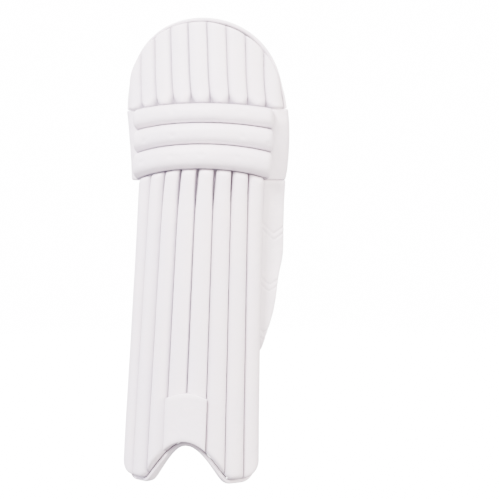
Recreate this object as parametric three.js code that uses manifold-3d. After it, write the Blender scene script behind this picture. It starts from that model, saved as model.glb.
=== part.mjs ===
// A cricket batting pad that stands on its two foot lobes, front to -Y, in millimetres, +Z up.
// Every piece lies on one curved form: "along" is the arc length from the middle line on the carrier's
// front face, "up" is the height, and "out" is the distance in front of that face.
import * as THREE from "three";
import { mergeVertices } from "three/addons/utils/BufferGeometryUtils.js";
import Module from "manifold-3d";

// Driving dimensions
const CLEARANCE = 0.3; // between neighbours that are sewn edge to edge
const LAYER_CLEARANCE = 0.4; // between a piece and the curved face that it lies on
const FOOT_CLEARANCE = 0.8; // straight above the steep sewing line of the foot
const SHIN_HEIGHT = 467; // floor to the lowest knee roll, up the middle line
const KNEE_HEIGHT = 96; // the three knee rolls together
const FLAP_HEIGHT = 127; // above the knee rolls
const SHIN_RADIUS = 110; // bend of the carrier round the shin
const FLAP_RADIUS = 165; // bend of the carrier at the flap's top
const FRONT_REACH = 8; // how far the foot kicks forward and the flap tilts back
const SIDE_LEAN = 24; // how far the top leans to the wing side
const BACKING_THICKNESS = 8;

const ROLL_COUNT = 8;
const ROLL_COLUMNS = 4; // grid columns across one roll
const ROLL_PITCH_FOOT = 28.4; // on the carrier's front face
const ROLL_PITCH_TOP = 23.9;
const ROLL_THICKNESS = 17;
const ROLL_SEAM_THICKNESS = 7;
const EDGE_BINDING_WIDTH = 7;
const EDGE_BINDING_OUT = 5; // in front of the carrier's front face
const EDGE_BINDING_LIP = 1.5; // behind what it binds
const BINDING_RIM_SHARE = 0.75; // depth of a binding's rounded rim, as a share of its full depth
const ARCH_HEIGHT = 57;
const ARCH_WIDTH = 130;
const ARCH_FULLNESS = 0.6; // below 1 the arch is fuller than a cosine wave
const LOBE_CORNER_WIDTH = 26;
const LOBE_CORNER_HEIGHT = 28;
const LOBE_CORNER_BEND = 0.93; // share of a quarter round that the corner turns through

const KNEE_ROLL_LENGTH = 208;
const KNEE_ROLL_THICKNESS = 27;
const KNEE_ROLL_SEAM_THICKNESS = 9;
const KNEE_SEAM_ARCH = 15; // sag of the lowest knee seam from its middle to the roll's ends
const KNEE_SIDE_FOOT_WIDTH = { left: 26.5, right: 42 };
const KNEE_SIDE_TOP_WIDTH = { left: 34, right: 31.5 };
const KNEE_SIDE_THICKNESS = 8;
const KNEE_PLY_STEP = 4; // where the rear ply of the side strip meets the strip, past the roll's end

const FLAP_CHANNELS = 9;
const FLAP_WIDTH = 256; // along the curve, over the binding
const FLAP_SPLAY = 7; // more width at the flap's foot, on each side
const FLAP_SPLAY_HEIGHT = 34; // over which the flap splays
const FLAP_SIDE_HEIGHT = 4; // straight stretch of the flap's side above the knee seam
const FLAP_BINDING_WIDTH = 6;
const FLAP_THICKNESS = 12;
const FLAP_GROOVE_THICKNESS = 5;
const FLAP_LINING_THICKNESS = 10;
const FLAP_LINING_DROP = 29; // the lining's lower edge, below the top of the knee rolls
const FLAP_BINDING_OVERLAP = 2.5; // the binding's edges stand proud of the lining at the back

const WING_HEIGHT = 258;
const WING_WIDTH = 40;
const WING_THICKNESS = 12;
const WING_FLARE = 18; // how far the wing's edge stands off the leg

const PLATE_HEIGHT = 72;
const PLATE_THICKNESS = 5;

const SHIN_BOLSTER_WIDTH = 66;
const SHIN_BOLSTER_THICKNESS = 20;
const SIDE_BOLSTER_WIDTH = 61;
const SIDE_BOLSTER_THICKNESS = 24;
const BOLSTER_FOOT = 122; // the bolsters' lower ends, above the floor
const BOLSTER_TOP = SHIN_HEIGHT - 11;
const INSTEP_LINING_THICKNESS = 11;
const INSTEP_LINING_EDGE = 5; // its thickness at its edges
const INSTEP_LINING_TAPER = 20; // height over which it thickens above the foot

const STRAP_BOW = 6; // how far a closed strap bows away from the leg
const STRAP_THICKNESS = 6;
const CALF_STRAP_FOOT = 0.72 * SHIN_HEIGHT; // heights above the floor
const CALF_STRAP_HEIGHT = 54;
const ANKLE_STRAP_FOOT = BOLSTER_FOOT + 10;
const ANKLE_STRAP_HEIGHT = 58;
const KNEE_WRAP_FOOT = SHIN_HEIGHT + 5;
const KNEE_WRAP_HEIGHT = 65;
const KNEE_WRAP_THICKNESS = 9;
const KNEE_WRAP_ROLL_HEIGHT = 26;
const KNEE_WRAP_ROLL_THICKNESS = 17;
const TAB_THICKNESS = 2.5;
const PATCH_THICKNESS = 1.5;

// Tabs on the straps: margin is measured from the tip to the strap's wing-side end, rise from the
// strap's lower edge, and point is the depth of the rounded tip.
const KNEE_TAB = { margin: 31, length: 17, rise: 6, height: 19, point: 8 };
const CALF_TAB = { margin: 5, length: 114, rise: 7, height: 43, point: 9 };
const ANKLE_TAB = { margin: 12, length: 36, rise: 5, height: 46, point: 17 };
const HOOK_PATCH = { margin: 2, rise: 8, height: 40 };

const PAD_HEIGHT = SHIN_HEIGHT + KNEE_HEIGHT + FLAP_HEIGHT;

// Levels of the form. shin, knee and flap are shares of those three heights; open is the share of the
// way from the shin's bend to the flap's, reach that of FRONT_REACH to the back, lean that of SIDE_LEAN.
const FORM = [
  { shin: 0.0, knee: 0, flap: 0, open: 0, reach: -1.3, lean: 0.0 },
  { shin: 0.16, knee: 0, flap: 0, open: 0, reach: -0.6, lean: 0.08 },
  { shin: 0.25, knee: 0, flap: 0, open: 0, reach: -0.28, lean: 0.13 },
  { shin: 0.35, knee: 0, flap: 0, open: 0, reach: 0.0, lean: 0.2 },
  { shin: 0.45, knee: 0, flap: 0, open: 0, reach: 0.1, lean: 0.28 },
  { shin: 0.56, knee: 0, flap: 0, open: 0.0, reach: 0.12, lean: 0.37 },
  { shin: 0.67, knee: 0, flap: 0, open: 0.01, reach: 0.1, lean: 0.47 },
  { shin: 0.77, knee: 0, flap: 0, open: 0.04, reach: 0.05, lean: 0.56 },
  { shin: 0.86, knee: 0, flap: 0, open: 0.12, reach: 0.0, lean: 0.65 },
  { shin: 0.93, knee: 0, flap: 0, open: 0.23, reach: 0.0, lean: 0.73 },
  { shin: 1.0, knee: 0.0, flap: 0, open: 0.4, reach: 0.0, lean: 0.84 },
  { shin: 1.0, knee: 0.35, flap: 0, open: 0.62, reach: 0.0, lean: 0.94 },
  { shin: 1.0, knee: 0.69, flap: 0, open: 0.79, reach: 0.02, lean: 0.97 },
  { shin: 1.0, knee: 1.0, flap: 0, open: 0.89, reach: 0.1, lean: 0.93 },
  { shin: 1.0, knee: 1.0, flap: 0.3, open: 0.95, reach: 0.35, lean: 0.88 },
  { shin: 1.0, knee: 1.0, flap: 0.6, open: 0.98, reach: 0.65, lean: 0.9 },
  { shin: 1.0, knee: 1.0, flap: 1.0, open: 1.0, reach: 1.0, lean: 0.93 },
];
const LEVELS = FORM.map((row) => row.shin * SHIN_HEIGHT + row.knee * KNEE_HEIGHT + row.flap * FLAP_HEIGHT);

// Knee seams from the bottom: height as a share of the knee, arch as a share of KNEE_SEAM_ARCH.
const KNEE_SEAMS = [
  { height: 0.0, arch: 1.0 },
  { height: 0.375, arch: 0.8 },
  { height: 0.7, arch: 0.6 },
  { height: 1.0, arch: 0.45 },
];

// Seams of the instep lining's channels, as shares of its half width.
const LINING_SEAMS = [-1, -0.875, -0.625, -0.375, 0.375, 0.625, 0.875, 1];

// The wing's free edge: up is a share of WING_HEIGHT, width of WING_WIDTH, flare of WING_FLARE.
const WING_EDGE = [
  { up: 0.0, width: 0.17, flare: 0.1 },
  { up: 0.05, width: 0.25, flare: 0.3 },
  { up: 0.13, width: 0.42, flare: 0.5 },
  { up: 0.23, width: 0.59, flare: 0.7 },
  { up: 0.31, width: 0.64, flare: 0.85 },
  { up: 0.44, width: 0.74, flare: 0.95 },
  { up: 0.58, width: 0.94, flare: 1.0 },
  { up: 0.8, width: 0.98, flare: 0.8 },
  { up: 1.0, width: 1.0, flare: 0.6 },
];

const mix = THREE.MathUtils.lerp;

// The value of a table's column where its key column has the value at, by straight lines between rows.
function lookUp(rows, key, column, at) {
  let i = 1;
  while (i < rows.length - 1 && rows[i][key] < at) i += 1;
  const low = rows[i - 1];
  const high = rows[i];
  const share = (at - low[key]) / (high[key] - low[key]);
  return mix(low[column], high[column], THREE.MathUtils.clamp(share, 0, 1));
}

const LEVEL_ROWS = FORM.map((row, i) => ({
  up: LEVELS[i],
  radius: mix(SHIN_RADIUS, FLAP_RADIUS, row.open),
  front: row.reach * FRONT_REACH,
  middle: row.lean * SIDE_LEAN,
}));

// The point of the form at an arc length along, a height up and a distance out of the carrier's face.
function onForm(along, up, out) {
  const radius = lookUp(LEVEL_ROWS, "up", "radius", up);
  const front = lookUp(LEVEL_ROWS, "up", "front", up);
  const middle = lookUp(LEVEL_ROWS, "up", "middle", up);
  const angle = along / radius;
  return new THREE.Vector3(
    middle + (radius + out) * Math.sin(angle),
    front + radius - (radius + out) * Math.cos(angle),
    up,
  );
}

// A closed box of a grid of faces, each of whose points is moved by place(u, v, w), all from 0 to 1.
function mould(across, rows, through, place) {
  const box = new THREE.BoxGeometry(1, 1, 1, across, rows, through);
  box.deleteAttribute("normal");
  box.deleteAttribute("uv");
  const points = box.getAttribute("position");
  for (let i = 0; i < points.count; i += 1) {
    const moved = place(points.getX(i) + 0.5, points.getY(i) + 0.5, points.getZ(i) + 0.5);
    points.setXYZ(i, moved.x, moved.y, moved.z);
  }
  const closed = mergeVertices(box, 1e-3);
  closed.computeVertexNormals();
  return closed;
}

const manifold = await Module();
manifold.setup();

function solid(geometry) {
  return new manifold.Manifold(
    new manifold.Mesh({
      numProp: 3,
      vertProperties: geometry.getAttribute("position").array,
      triVerts: new Uint32Array(geometry.index.array),
    }),
  );
}

// Two closed shapes as one.
function join(first, second) {
  const joined = solid(first).add(solid(second)).getMesh();
  const geometry = new THREE.BufferGeometry();
  geometry.setAttribute("position", new THREE.BufferAttribute(joined.vertProperties, joined.numProp));
  geometry.setIndex(new THREE.BufferAttribute(joined.triVerts, 1));
  geometry.computeVertexNormals();
  return geometry;
}

// Bunches evenly spaced shares towards both ends, as round sections want.
const bunched = (share) => 0.5 - 0.5 * Math.cos(Math.PI * share);

// A round crown over a width: 0 at both edges, 1 in the middle.
const crown = (share) => Math.sqrt(Math.max(0, 1 - (2 * share - 1) ** 2));

// A flat top with round shoulders: 0 at both edges, 1 from a shoulder's width inwards.
function shoulders(share, width) {
  const inset = Math.min(share, 1 - share);
  return inset >= width ? 1 : Math.sqrt(Math.max(0, 1 - (1 - inset / width) ** 2));
}

// The heights of a panel's rows: its foot, the form's levels well inside it, and its top.
function rowHeights(foot, top, margin) {
  const between = LEVELS.filter((level) => level > foot + margin && level < top - margin);
  return [foot, ...between, top];
}

// A panel on the form between four edges. left and right give an arc length from a height, foot and top
// a height from an arc length. inner and outer give the distances out, from the shares across and up.
function panel({ left, right, foot, top, inner, outer, across, levels, through = 1, spread = (u) => u }) {
  const rows = levels.length - 1;
  return mould(across, rows, through, (u, v, w) => {
    const row = Math.round(v * rows);
    const share = spread(u);
    let up = levels[row];
    let along = 0;
    for (let pass = 0; pass < 4; pass += 1) {
      along = mix(left(up), right(up), share);
      if (row === 0) up = foot(along);
      if (row === rows) up = top(along);
    }
    const height = (up - levels[0]) / (levels[rows] - levels[0]);
    return onForm(along, up, mix(inner(share, height, along, up), outer(share, height, along, up), w));
  });
}

// A tape whose inner edge runs along a list of points (along, up), its width to the right of the run.
// inner gives how far behind the carrier's face it reaches at a height.
function tape(line, width, inner, outer) {
  const side = line.map((point, i) => {
    const before = line[Math.max(0, i - 1)];
    const after = line[Math.min(line.length - 1, i + 1)];
    return new THREE.Vector2(after.y - before.y, before.x - after.x).normalize();
  });
  return mould(line.length - 1, 2, 2, (u, v, w) => {
    const i = Math.round(u * (line.length - 1));
    const at = line[i].clone().addScaledVector(side[i], (1 - v) * width);
    const rear = inner(line[i].y);
    const middle = (rear + outer) / 2;
    const reach = v < 0.25 ? BINDING_RIM_SHARE : 1;
    return onForm(at.x, at.y, middle + reach * (mix(rear, outer, w) - middle));
  });
}

// Edges of the shin
const rollPitch = (up) => mix(ROLL_PITCH_FOOT, ROLL_PITCH_TOP, up / SHIN_HEIGHT);
const rollSeam = (number, up) => (number - ROLL_COUNT / 2) * rollPitch(up);
const rollsEdge = (up) => rollSeam(ROLL_COUNT, up);
const SHIN_SIDE_TOP = SHIN_HEIGHT - KNEE_SEAM_ARCH - CLEARANCE; // under the ends of the lowest knee roll
const WING_FOOT = SHIN_SIDE_TOP - WING_HEIGHT;
const LINING_FOOT = SHIN_HEIGHT + KNEE_HEIGHT - FLAP_LINING_DROP;
const BACKING_TOP = LINING_FOOT - CLEARANCE;

// The foot's line, as a height from an arc length: an arch over the instep, two flat feet and two round
// corners.
function footCurve(along) {
  const from = Math.abs(along);
  const cornerStart = rollsEdge(0) - LOBE_CORNER_WIDTH;
  const wave = from < ARCH_WIDTH / 2 ? 0.5 + 0.5 * Math.cos((2 * Math.PI * from) / ARCH_WIDTH) : 0;
  const share = THREE.MathUtils.clamp((from - cornerStart) / LOBE_CORNER_WIDTH, 0, 1);
  const drop = (part) => 1 - Math.sqrt(1 - (LOBE_CORNER_BEND * part) ** 2);
  const arch = ARCH_HEIGHT * wave ** ARCH_FULLNESS;
  return EDGE_BINDING_WIDTH + arch + (LOBE_CORNER_HEIGHT * drop(share)) / drop(1);
}

// Shares of the shin's half width at which every piece that ends on the sewing line has a column.
const SEW_COLUMNS = Array.from({ length: ROLL_COUNT * ROLL_COLUMNS + 1 }, (_, i) => {
  const roll = Math.min(ROLL_COUNT - 1, Math.floor(i / ROLL_COLUMNS));
  return (2 * (roll + bunched(i / ROLL_COLUMNS - roll))) / ROLL_COUNT - 1;
});
const sewSpread = (u) => 0.5 + 0.5 * SEW_COLUMNS[Math.round(u * ROLL_COUNT * ROLL_COLUMNS)];

// The line where the binding is sewn on at the foot, in straight steps from column to column.
const FOOT_LINE = SEW_COLUMNS.map((share) => {
  let up = 0;
  for (let pass = 0; pass < 6; pass += 1) up = footCurve(share * rollsEdge(up));
  return { along: share * rollsEdge(up), up };
});
const sewLine = (along) => lookUp(FOOT_LINE, "along", "up", along);

// The whole sewing line of the binding: down the left side, round the lobes and the arch, up the right.
function bindingLine() {
  const cornerTop = EDGE_BINDING_WIDTH + LOBE_CORNER_HEIGHT;
  const lip = [BOLSTER_FOOT - CLEARANCE, BOLSTER_FOOT + CLEARANCE];
  const heights = [...LEVELS, ...lip]
    .filter((level) => level > cornerTop + 5 && level < SHIN_SIDE_TOP - 4)
    .toSorted((a, b) => a - b);
  const left = [SHIN_SIDE_TOP, ...heights.toReversed()].map((up) => new THREE.Vector2(-rollsEdge(up), up));
  const foot = FOOT_LINE.map((point) => new THREE.Vector2(point.along, point.up));
  const rightHeights = [...heights.filter((level) => level < WING_FOOT - 4), WING_FOOT];
  const right = rightHeights.map((up) => new THREE.Vector2(rollsEdge(up), up));
  return [...left, ...foot, ...right];
}

// Knee seams, the lowest first
function kneeSeam(number, along) {
  const { height, arch } = KNEE_SEAMS[number];
  const share = along / (KNEE_ROLL_LENGTH / 2);
  return SHIN_HEIGHT + height * KNEE_HEIGHT - arch * KNEE_SEAM_ARCH * Math.min(share ** 2, 1);
}

function shinRoll(number) {
  const left = (up) => rollSeam(number - 1, up) + CLEARANCE / 2;
  const right = (up) => rollSeam(number, up) - CLEARANCE / 2;
  const foot = (along) => sewLine(along) + FOOT_CLEARANCE;
  const top = (along) => kneeSeam(0, along) - CLEARANCE;
  const highestFoot = Math.max(foot(left(0)), foot(right(0)));
  return panel({
    left,
    right,
    foot,
    top,
    levels: rowHeights(highestFoot, SHIN_SIDE_TOP, 8),
    across: ROLL_COLUMNS,
    spread: bunched,
    inner: () => LAYER_CLEARANCE,
    outer: (u, v) => {
      const ends = shoulders(v, 0.03);
      return mix(ROLL_SEAM_THICKNESS, mix(0.6, 1, ends) * ROLL_THICKNESS, crown(u));
    },
  });
}

// The half width of the knee, over the rolls and the side strip.
function kneeEdge(side, up) {
  const name = side > 0 ? "right" : "left";
  const height = THREE.MathUtils.clamp((up - SHIN_HEIGHT) / KNEE_HEIGHT, 0, 1);
  return KNEE_ROLL_LENGTH / 2 + mix(KNEE_SIDE_FOOT_WIDTH[name], KNEE_SIDE_TOP_WIDTH[name], height);
}

function backing() {
  const half = (up) => rollsEdge(Math.min(up, SHIN_SIDE_TOP)) - CLEARANCE;
  return panel({
    left: (up) => -half(up),
    right: half,
    foot: (along) => sewLine(along) + FOOT_CLEARANCE,
    top: () => BACKING_TOP,
    levels: [ARCH_HEIGHT, ...rowHeights(ARCH_HEIGHT, BACKING_TOP, 12).slice(1)],
    across: SEW_COLUMNS.length - 1,
    spread: sewSpread,
    inner: () => -BACKING_THICKNESS,
    outer: () => 0,
  });
}

// How far the binding reaches behind the carrier's face: past the lining's edge at the foot, less above it.
const bindingRear = (up) =>
  -BACKING_THICKNESS - EDGE_BINDING_LIP - (up < BOLSTER_FOOT ? INSTEP_LINING_EDGE : 0);

function edgeBinding() {
  return tape(bindingLine(), EDGE_BINDING_WIDTH, bindingRear, EDGE_BINDING_OUT);
}

function kneeRoll(number) {
  const seam = KNEE_SEAMS.length - 1 - number;
  const half = KNEE_ROLL_LENGTH / 2 - CLEARANCE / 2;
  return mould(18, 4, 1, (u, v, w) => {
    const along = mix(-half, half, mix(u, bunched(u), 0.5));
    const low = kneeSeam(seam, along) + CLEARANCE / 2;
    const high = kneeSeam(seam + 1, along) - CLEARANCE / 2;
    const section = crown(bunched(v)) * shoulders((along + half) / (2 * half), 0.08);
    const out = mix(KNEE_ROLL_SEAM_THICKNESS, KNEE_ROLL_THICKNESS, section);
    return onForm(along, mix(low, high, bunched(v)), mix(LAYER_CLEARANCE, out, w));
  });
}

// The padded strip beside the knee rolls, with a rear ply that reaches in behind their ends.
function kneeSide(side) {
  const rollEnd = KNEE_ROLL_LENGTH / 2;
  const foot = SHIN_HEIGHT - KNEE_SEAM_ARCH + CLEARANCE;
  const mirrored = (near, far) => ({
    left: (up) => (side > 0 ? near : -far(up)),
    right: (up) => (side > 0 ? far(up) : -near),
  });
  const stripTop = kneeSeam(KNEE_SEAMS.length - 1, rollEnd) - CLEARANCE;
  const strip = panel({
    ...mirrored(rollEnd + CLEARANCE / 2, (up) => kneeEdge(side, up)),
    foot: () => foot,
    top: () => stripTop,
    levels: rowHeights(foot, stripTop, 8),
    across: 5,
    inner: () => LAYER_CLEARANCE,
    outer: (u, v) => mix(3, KNEE_SIDE_THICKNESS, shoulders(u, 0.35) * shoulders(v, 0.15)),
  });
  const ply = panel({
    ...mirrored(rollsEdge(SHIN_SIDE_TOP) + CLEARANCE, (up) => kneeEdge(side, up)),
    foot: () => foot,
    top: () => BACKING_TOP,
    levels: rowHeights(foot, BACKING_TOP, 8),
    across: 8,
    inner: () => -BACKING_THICKNESS,
    outer: (u, v, along) => (Math.abs(along) > rollEnd + KNEE_PLY_STEP ? 2 * LAYER_CLEARANCE : 0),
  });
  return join(strip, ply);
}

// The flap's outline, an inset inside its edge, as a height from an arc length.
function flapTop(along, inset) {
  const half = FLAP_WIDTH / 2 - inset;
  const start = SHIN_HEIGHT + KNEE_HEIGHT + FLAP_SIDE_HEIGHT;
  const rise = PAD_HEIGHT - inset - start;
  return start + rise * Math.sqrt(Math.max(0, 1 - (along / half) ** 2));
}

// The arc length at which a column of the flap passes a height: the outer columns spread towards the knee.
function flapColumn(column, up) {
  const foot = kneeSeam(KNEE_SEAMS.length - 1, FLAP_WIDTH / 2);
  const low = 1 - THREE.MathUtils.clamp((up - foot) / FLAP_SPLAY_HEIGHT, 0, 1);
  return column + FLAP_SPLAY * (column / (FLAP_WIDTH / 2)) ** 5 * low;
}

function flapPanel({ foot, inner, outer, across, rows, spread, inset }) {
  const half = FLAP_WIDTH / 2 - inset;
  return mould(across, rows, 1, (u, v, w) => {
    const column = mix(-half, half, spread(u));
    const up = mix(foot(flapColumn(column, foot(column))), flapTop(column, inset), v);
    return onForm(flapColumn(column, up), up, mix(inner(column, v), outer(column, v), w));
  });
}

function kneeFlap() {
  const inset = FLAP_BINDING_WIDTH + 2 * CLEARANCE;
  const half = FLAP_WIDTH / 2 - inset;
  const perChannel = 4;
  const spread = (u) => {
    const channel = Math.min(FLAP_CHANNELS - 1, Math.floor(u * FLAP_CHANNELS + 1e-6));
    return (channel + bunched(u * FLAP_CHANNELS - channel)) / FLAP_CHANNELS;
  };
  return flapPanel({
    inset,
    spread,
    across: FLAP_CHANNELS * perChannel,
    rows: 5,
    foot: (along) => kneeSeam(3, along) + CLEARANCE,
    inner: () => LAYER_CLEARANCE,
    outer: (along, v) => {
      const place = ((along + half) / (2 * half)) * FLAP_CHANNELS;
      const within = place - Math.min(FLAP_CHANNELS - 1, Math.floor(place + 1e-6));
      const full = mix(0.75, 1, shoulders(v, 0.25));
      return full * mix(FLAP_GROOVE_THICKNESS, FLAP_THICKNESS, crown(within));
    },
  });
}

function flapLining() {
  return flapPanel({
    inset: FLAP_BINDING_WIDTH + 2 * CLEARANCE,
    spread: (u) => u,
    across: 18,
    rows: 6,
    foot: () => LINING_FOOT,
    inner: (along, v) => -FLAP_LINING_THICKNESS * mix(0.7, 1, shoulders(v, 0.12)),
    outer: () => 0,
  });
}

function flapBinding() {
  const half = FLAP_WIDTH / 2 - FLAP_BINDING_WIDTH;
  const start = SHIN_HEIGHT + KNEE_HEIGHT + FLAP_SIDE_HEIGHT;
  const rise = PAD_HEIGHT - FLAP_BINDING_WIDTH - start;
  const foot = kneeSeam(KNEE_SEAMS.length - 1, half) + CLEARANCE;
  const steps = 36;
  const arc = Array.from({ length: steps + 1 }, (_, i) => {
    const angle = Math.PI * (1 - i / steps);
    return new THREE.Vector2(half * Math.cos(angle), start + rise * Math.sin(angle));
  });
  const outline = [new THREE.Vector2(-half, foot), ...arc, new THREE.Vector2(half, foot)].toReversed();
  const line = outline.map(({ x, y }) => new THREE.Vector2(flapColumn(x, y), y));
  const rear = () => -FLAP_LINING_THICKNESS - FLAP_BINDING_OVERLAP;
  return tape(line, FLAP_BINDING_WIDTH, rear, FLAP_GROOVE_THICKNESS + FLAP_BINDING_OVERLAP);
}

const wingColumn = (column, up) => lookUp(WING_EDGE, "up", column, (up - WING_FOOT) / WING_HEIGHT);
const wingEdge = (up) => rollsEdge(up) + WING_WIDTH * wingColumn("width", up);
const wingFlare = (up) => WING_FLARE * wingColumn("flare", up);
const WING_EDGE_REAR = 0.4 * BACKING_THICKNESS; // the wing's edge is thinner than its middle

function wing() {
  return panel({
    left: (up) => rollsEdge(up) + CLEARANCE / 2,
    right: wingEdge,
    foot: () => WING_FOOT + CLEARANCE,
    top: () => SHIN_SIDE_TOP,
    levels: rowHeights(WING_FOOT + CLEARANCE, SHIN_SIDE_TOP, 6),
    across: 5,
    inner: (u, v, along, up) =>
      wingFlare(up) * u ** 2 - mix(WING_EDGE_REAR, BACKING_THICKNESS, shoulders(u, 0.3)),
    outer: (u, v, along, up) =>
      wingFlare(up) * u ** 2 + mix(0, WING_THICKNESS - BACKING_THICKNESS, shoulders(u, 0.3)),
  });
}

function instepPlate() {
  const half = rollPitch(0) * 0.97;
  const foot = (along) => sewLine(along) + CLEARANCE + 2;
  const top = (along) => foot(0) + PLATE_HEIGHT - 9 * (along / half) ** 2;
  const face = ROLL_THICKNESS + LAYER_CLEARANCE;
  return panel({
    left: () => -half,
    right: () => half,
    foot,
    top,
    levels: rowHeights(foot(0), top(0), 6),
    across: 6,
    inner: () => face,
    outer: (u, v) => face + mix(1.5, PLATE_THICKNESS, shoulders(u, 0.2) * shoulders(v, 0.2)),
  });
}

function bolster(from, to, thickness) {
  const face = -BACKING_THICKNESS - LAYER_CLEARANCE;
  return panel({
    left: () => from,
    right: () => to,
    foot: () => BOLSTER_FOOT,
    top: () => BOLSTER_TOP,
    levels: rowHeights(BOLSTER_FOOT, BOLSTER_TOP, 8),
    across: 6,
    spread: bunched,
    inner: (u, v) => face - mix(0.35, 1, crown(u) * shoulders(v, 0.05)) * thickness,
    outer: () => face,
  });
}

function shinBolster() {
  return bolster(-SHIN_BOLSTER_WIDTH / 2, SHIN_BOLSTER_WIDTH / 2, SHIN_BOLSTER_THICKNESS);
}

function sideBolster(side) {
  const near = SHIN_BOLSTER_WIDTH / 2 + CLEARANCE;
  const far = near + SIDE_BOLSTER_WIDTH;
  return bolster(side > 0 ? near : -far, side > 0 ? far : -near, SIDE_BOLSTER_THICKNESS);
}

function instepLining() {
  const half = (up) => rollsEdge(up) - CLEARANCE;
  const face = -BACKING_THICKNESS - LAYER_CLEARANCE;
  const top = BOLSTER_FOOT - CLEARANCE;
  const crownAt = (share) => {
    const place = 2 * share - 1;
    const channel = LINING_SEAMS.findIndex((seam) => seam > place + 1e-6);
    if (channel < 1) return 0;
    return crown((place - LINING_SEAMS[channel - 1]) / (LINING_SEAMS[channel] - LINING_SEAMS[channel - 1]));
  };
  return panel({
    left: (up) => -half(up),
    right: half,
    foot: (along) => sewLine(along) + FOOT_CLEARANCE,
    top: () => top,
    levels: [ARCH_HEIGHT, ...LEVELS.filter((level) => level > ARCH_HEIGHT + 12 && level < top - 4), top],
    across: SEW_COLUMNS.length - 1,
    spread: sewSpread,
    inner: (u, v, along, up) => {
      const raised = THREE.MathUtils.clamp((up - sewLine(along)) / INSTEP_LINING_TAPER, 0, 1);
      const thickness = mix(INSTEP_LINING_EDGE, INSTEP_LINING_THICKNESS, raised * crownAt(u));
      return face - thickness + LAYER_CLEARANCE;
    },
    outer: () => face,
  });
}

// The rear corner of the pad's side edge at a height, on the left (-1) or the wing side (1).
function rearEdge(side, up) {
  if (up > SHIN_SIDE_TOP) return onForm(side * kneeEdge(side, up), up, -BACKING_THICKNESS);
  if (side > 0 && up > WING_FOOT) return onForm(wingEdge(up), up, wingFlare(up) - WING_EDGE_REAR);
  return onForm(side * (rollsEdge(up) + EDGE_BINDING_WIDTH / 2), up, bindingRear(up));
}

// The point of a closed strap at a distance from the pad's middle line, a height, and a distance behind
// its inner face, which passes just behind both side edges and bows away from the leg between them.
function onStrap(across, up, out) {
  const left = rearEdge(-1, up);
  const right = rearEdge(1, up);
  const x = onForm(0, up, 0).x + across;
  const share = (x - left.x) / (right.x - left.x);
  const bow = STRAP_BOW * (1 - (2 * share - 1) ** 2);
  return new THREE.Vector3(x, mix(left.y, right.y, share) + bow + LAYER_CLEARANCE + out, up);
}
const strapEnd = (side, up) => rearEdge(side, up).x - onForm(0, up, 0).x;

// A band that lies on the straps' curve from one place across to another, each given from a height.
function strapBand({ from, to, foot, height, inner, outer, across, rows }) {
  return mould(across, rows, 1, (u, v, w) => {
    const up = foot + bunched(v) * height;
    const edge = mix(0.5, 1, shoulders(bunched(v), 0.25));
    return onStrap(mix(to(up), from(up), u), up, mix(inner, inner + (outer - inner) * edge, w));
  });
}

function strap(foot, height, thickness, rows) {
  const ends = { from: (up) => strapEnd(-1, up), to: (up) => strapEnd(1, up) };
  return strapBand({ ...ends, foot, height, inner: 0, outer: thickness, across: 14, rows });
}

// The puffy roll along the knee wrap's lower edge, which stays above the wing and the binding.
function kneeWrapRoll() {
  const top = KNEE_WRAP_FOOT - CLEARANCE;
  const foot = Math.max(top - KNEE_WRAP_ROLL_HEIGHT, SHIN_SIDE_TOP + CLEARANCE);
  const ends = { from: (up) => strapEnd(-1, up), to: (up) => strapEnd(1, up) };
  return mould(14, 4, 1, (u, v, w) => {
    const up = mix(foot, top, bunched(v));
    const out = KNEE_WRAP_ROLL_THICKNESS * mix(0.35, 1, crown(bunched(v)));
    return onStrap(mix(ends.to(up), ends.from(up), u), up, w * out);
  });
}

// A tab sewn on the outside of a strap, its wing-side end drawn out to a rounded tip.
function tab({ margin, length, rise, height, point }, strapFoot, strapThickness) {
  const foot = strapFoot + rise;
  const middle = foot + height / 2;
  const end = strapEnd(1, middle) - margin;
  const tip = (up) => end - point * Math.abs((2 * (up - middle)) / height) ** 1.6;
  const inner = strapThickness + LAYER_CLEARANCE;
  const ends = { from: () => end - length, to: tip };
  return strapBand({ ...ends, foot, height, inner, outer: inner + TAB_THICKNESS, across: 6, rows: 4 });
}

// The hook patch that shows between the tip of the ankle tab and the strap's end.
function hookPatch() {
  const foot = ANKLE_STRAP_FOOT + HOOK_PATCH.rise;
  const end = strapEnd(1, foot + HOOK_PATCH.height / 2);
  const inner = STRAP_THICKNESS + LAYER_CLEARANCE;
  const ends = { from: () => end - ANKLE_TAB.margin + CLEARANCE, to: () => end - HOOK_PATCH.margin };
  const size = { foot, height: HOOK_PATCH.height, inner, outer: inner + PATCH_THICKNESS };
  return strapBand({ ...ends, ...size, across: 2, rows: 2 });
}

const WHITE_LEATHER = { color: 0xe9ebf0, roughness: 0.42 };
const WHITE_FABRIC = { color: 0xe4e2ea, roughness: 0.8 };
const TEAL_FABRIC = { color: 0x589ba5, roughness: 0.8 };
const TEAL_TAPE = { color: 0x509e91, roughness: 0.6 };
const GREY_HOOK = { color: 0x8b9694, roughness: 0.9 };

const pad = new THREE.Group();
pad.name = "batting_pad";

function add(name, geometry, finish) {
  const mesh = new THREE.Mesh(geometry, new THREE.MeshStandardMaterial({ ...finish, metalness: 0 }));
  mesh.name = name;
  pad.add(mesh);
}

const eachSide = (name, make, finish) => {
  add(name + "_left", make(-1), finish);
  add(name + "_right", make(1), finish);
};

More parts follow.
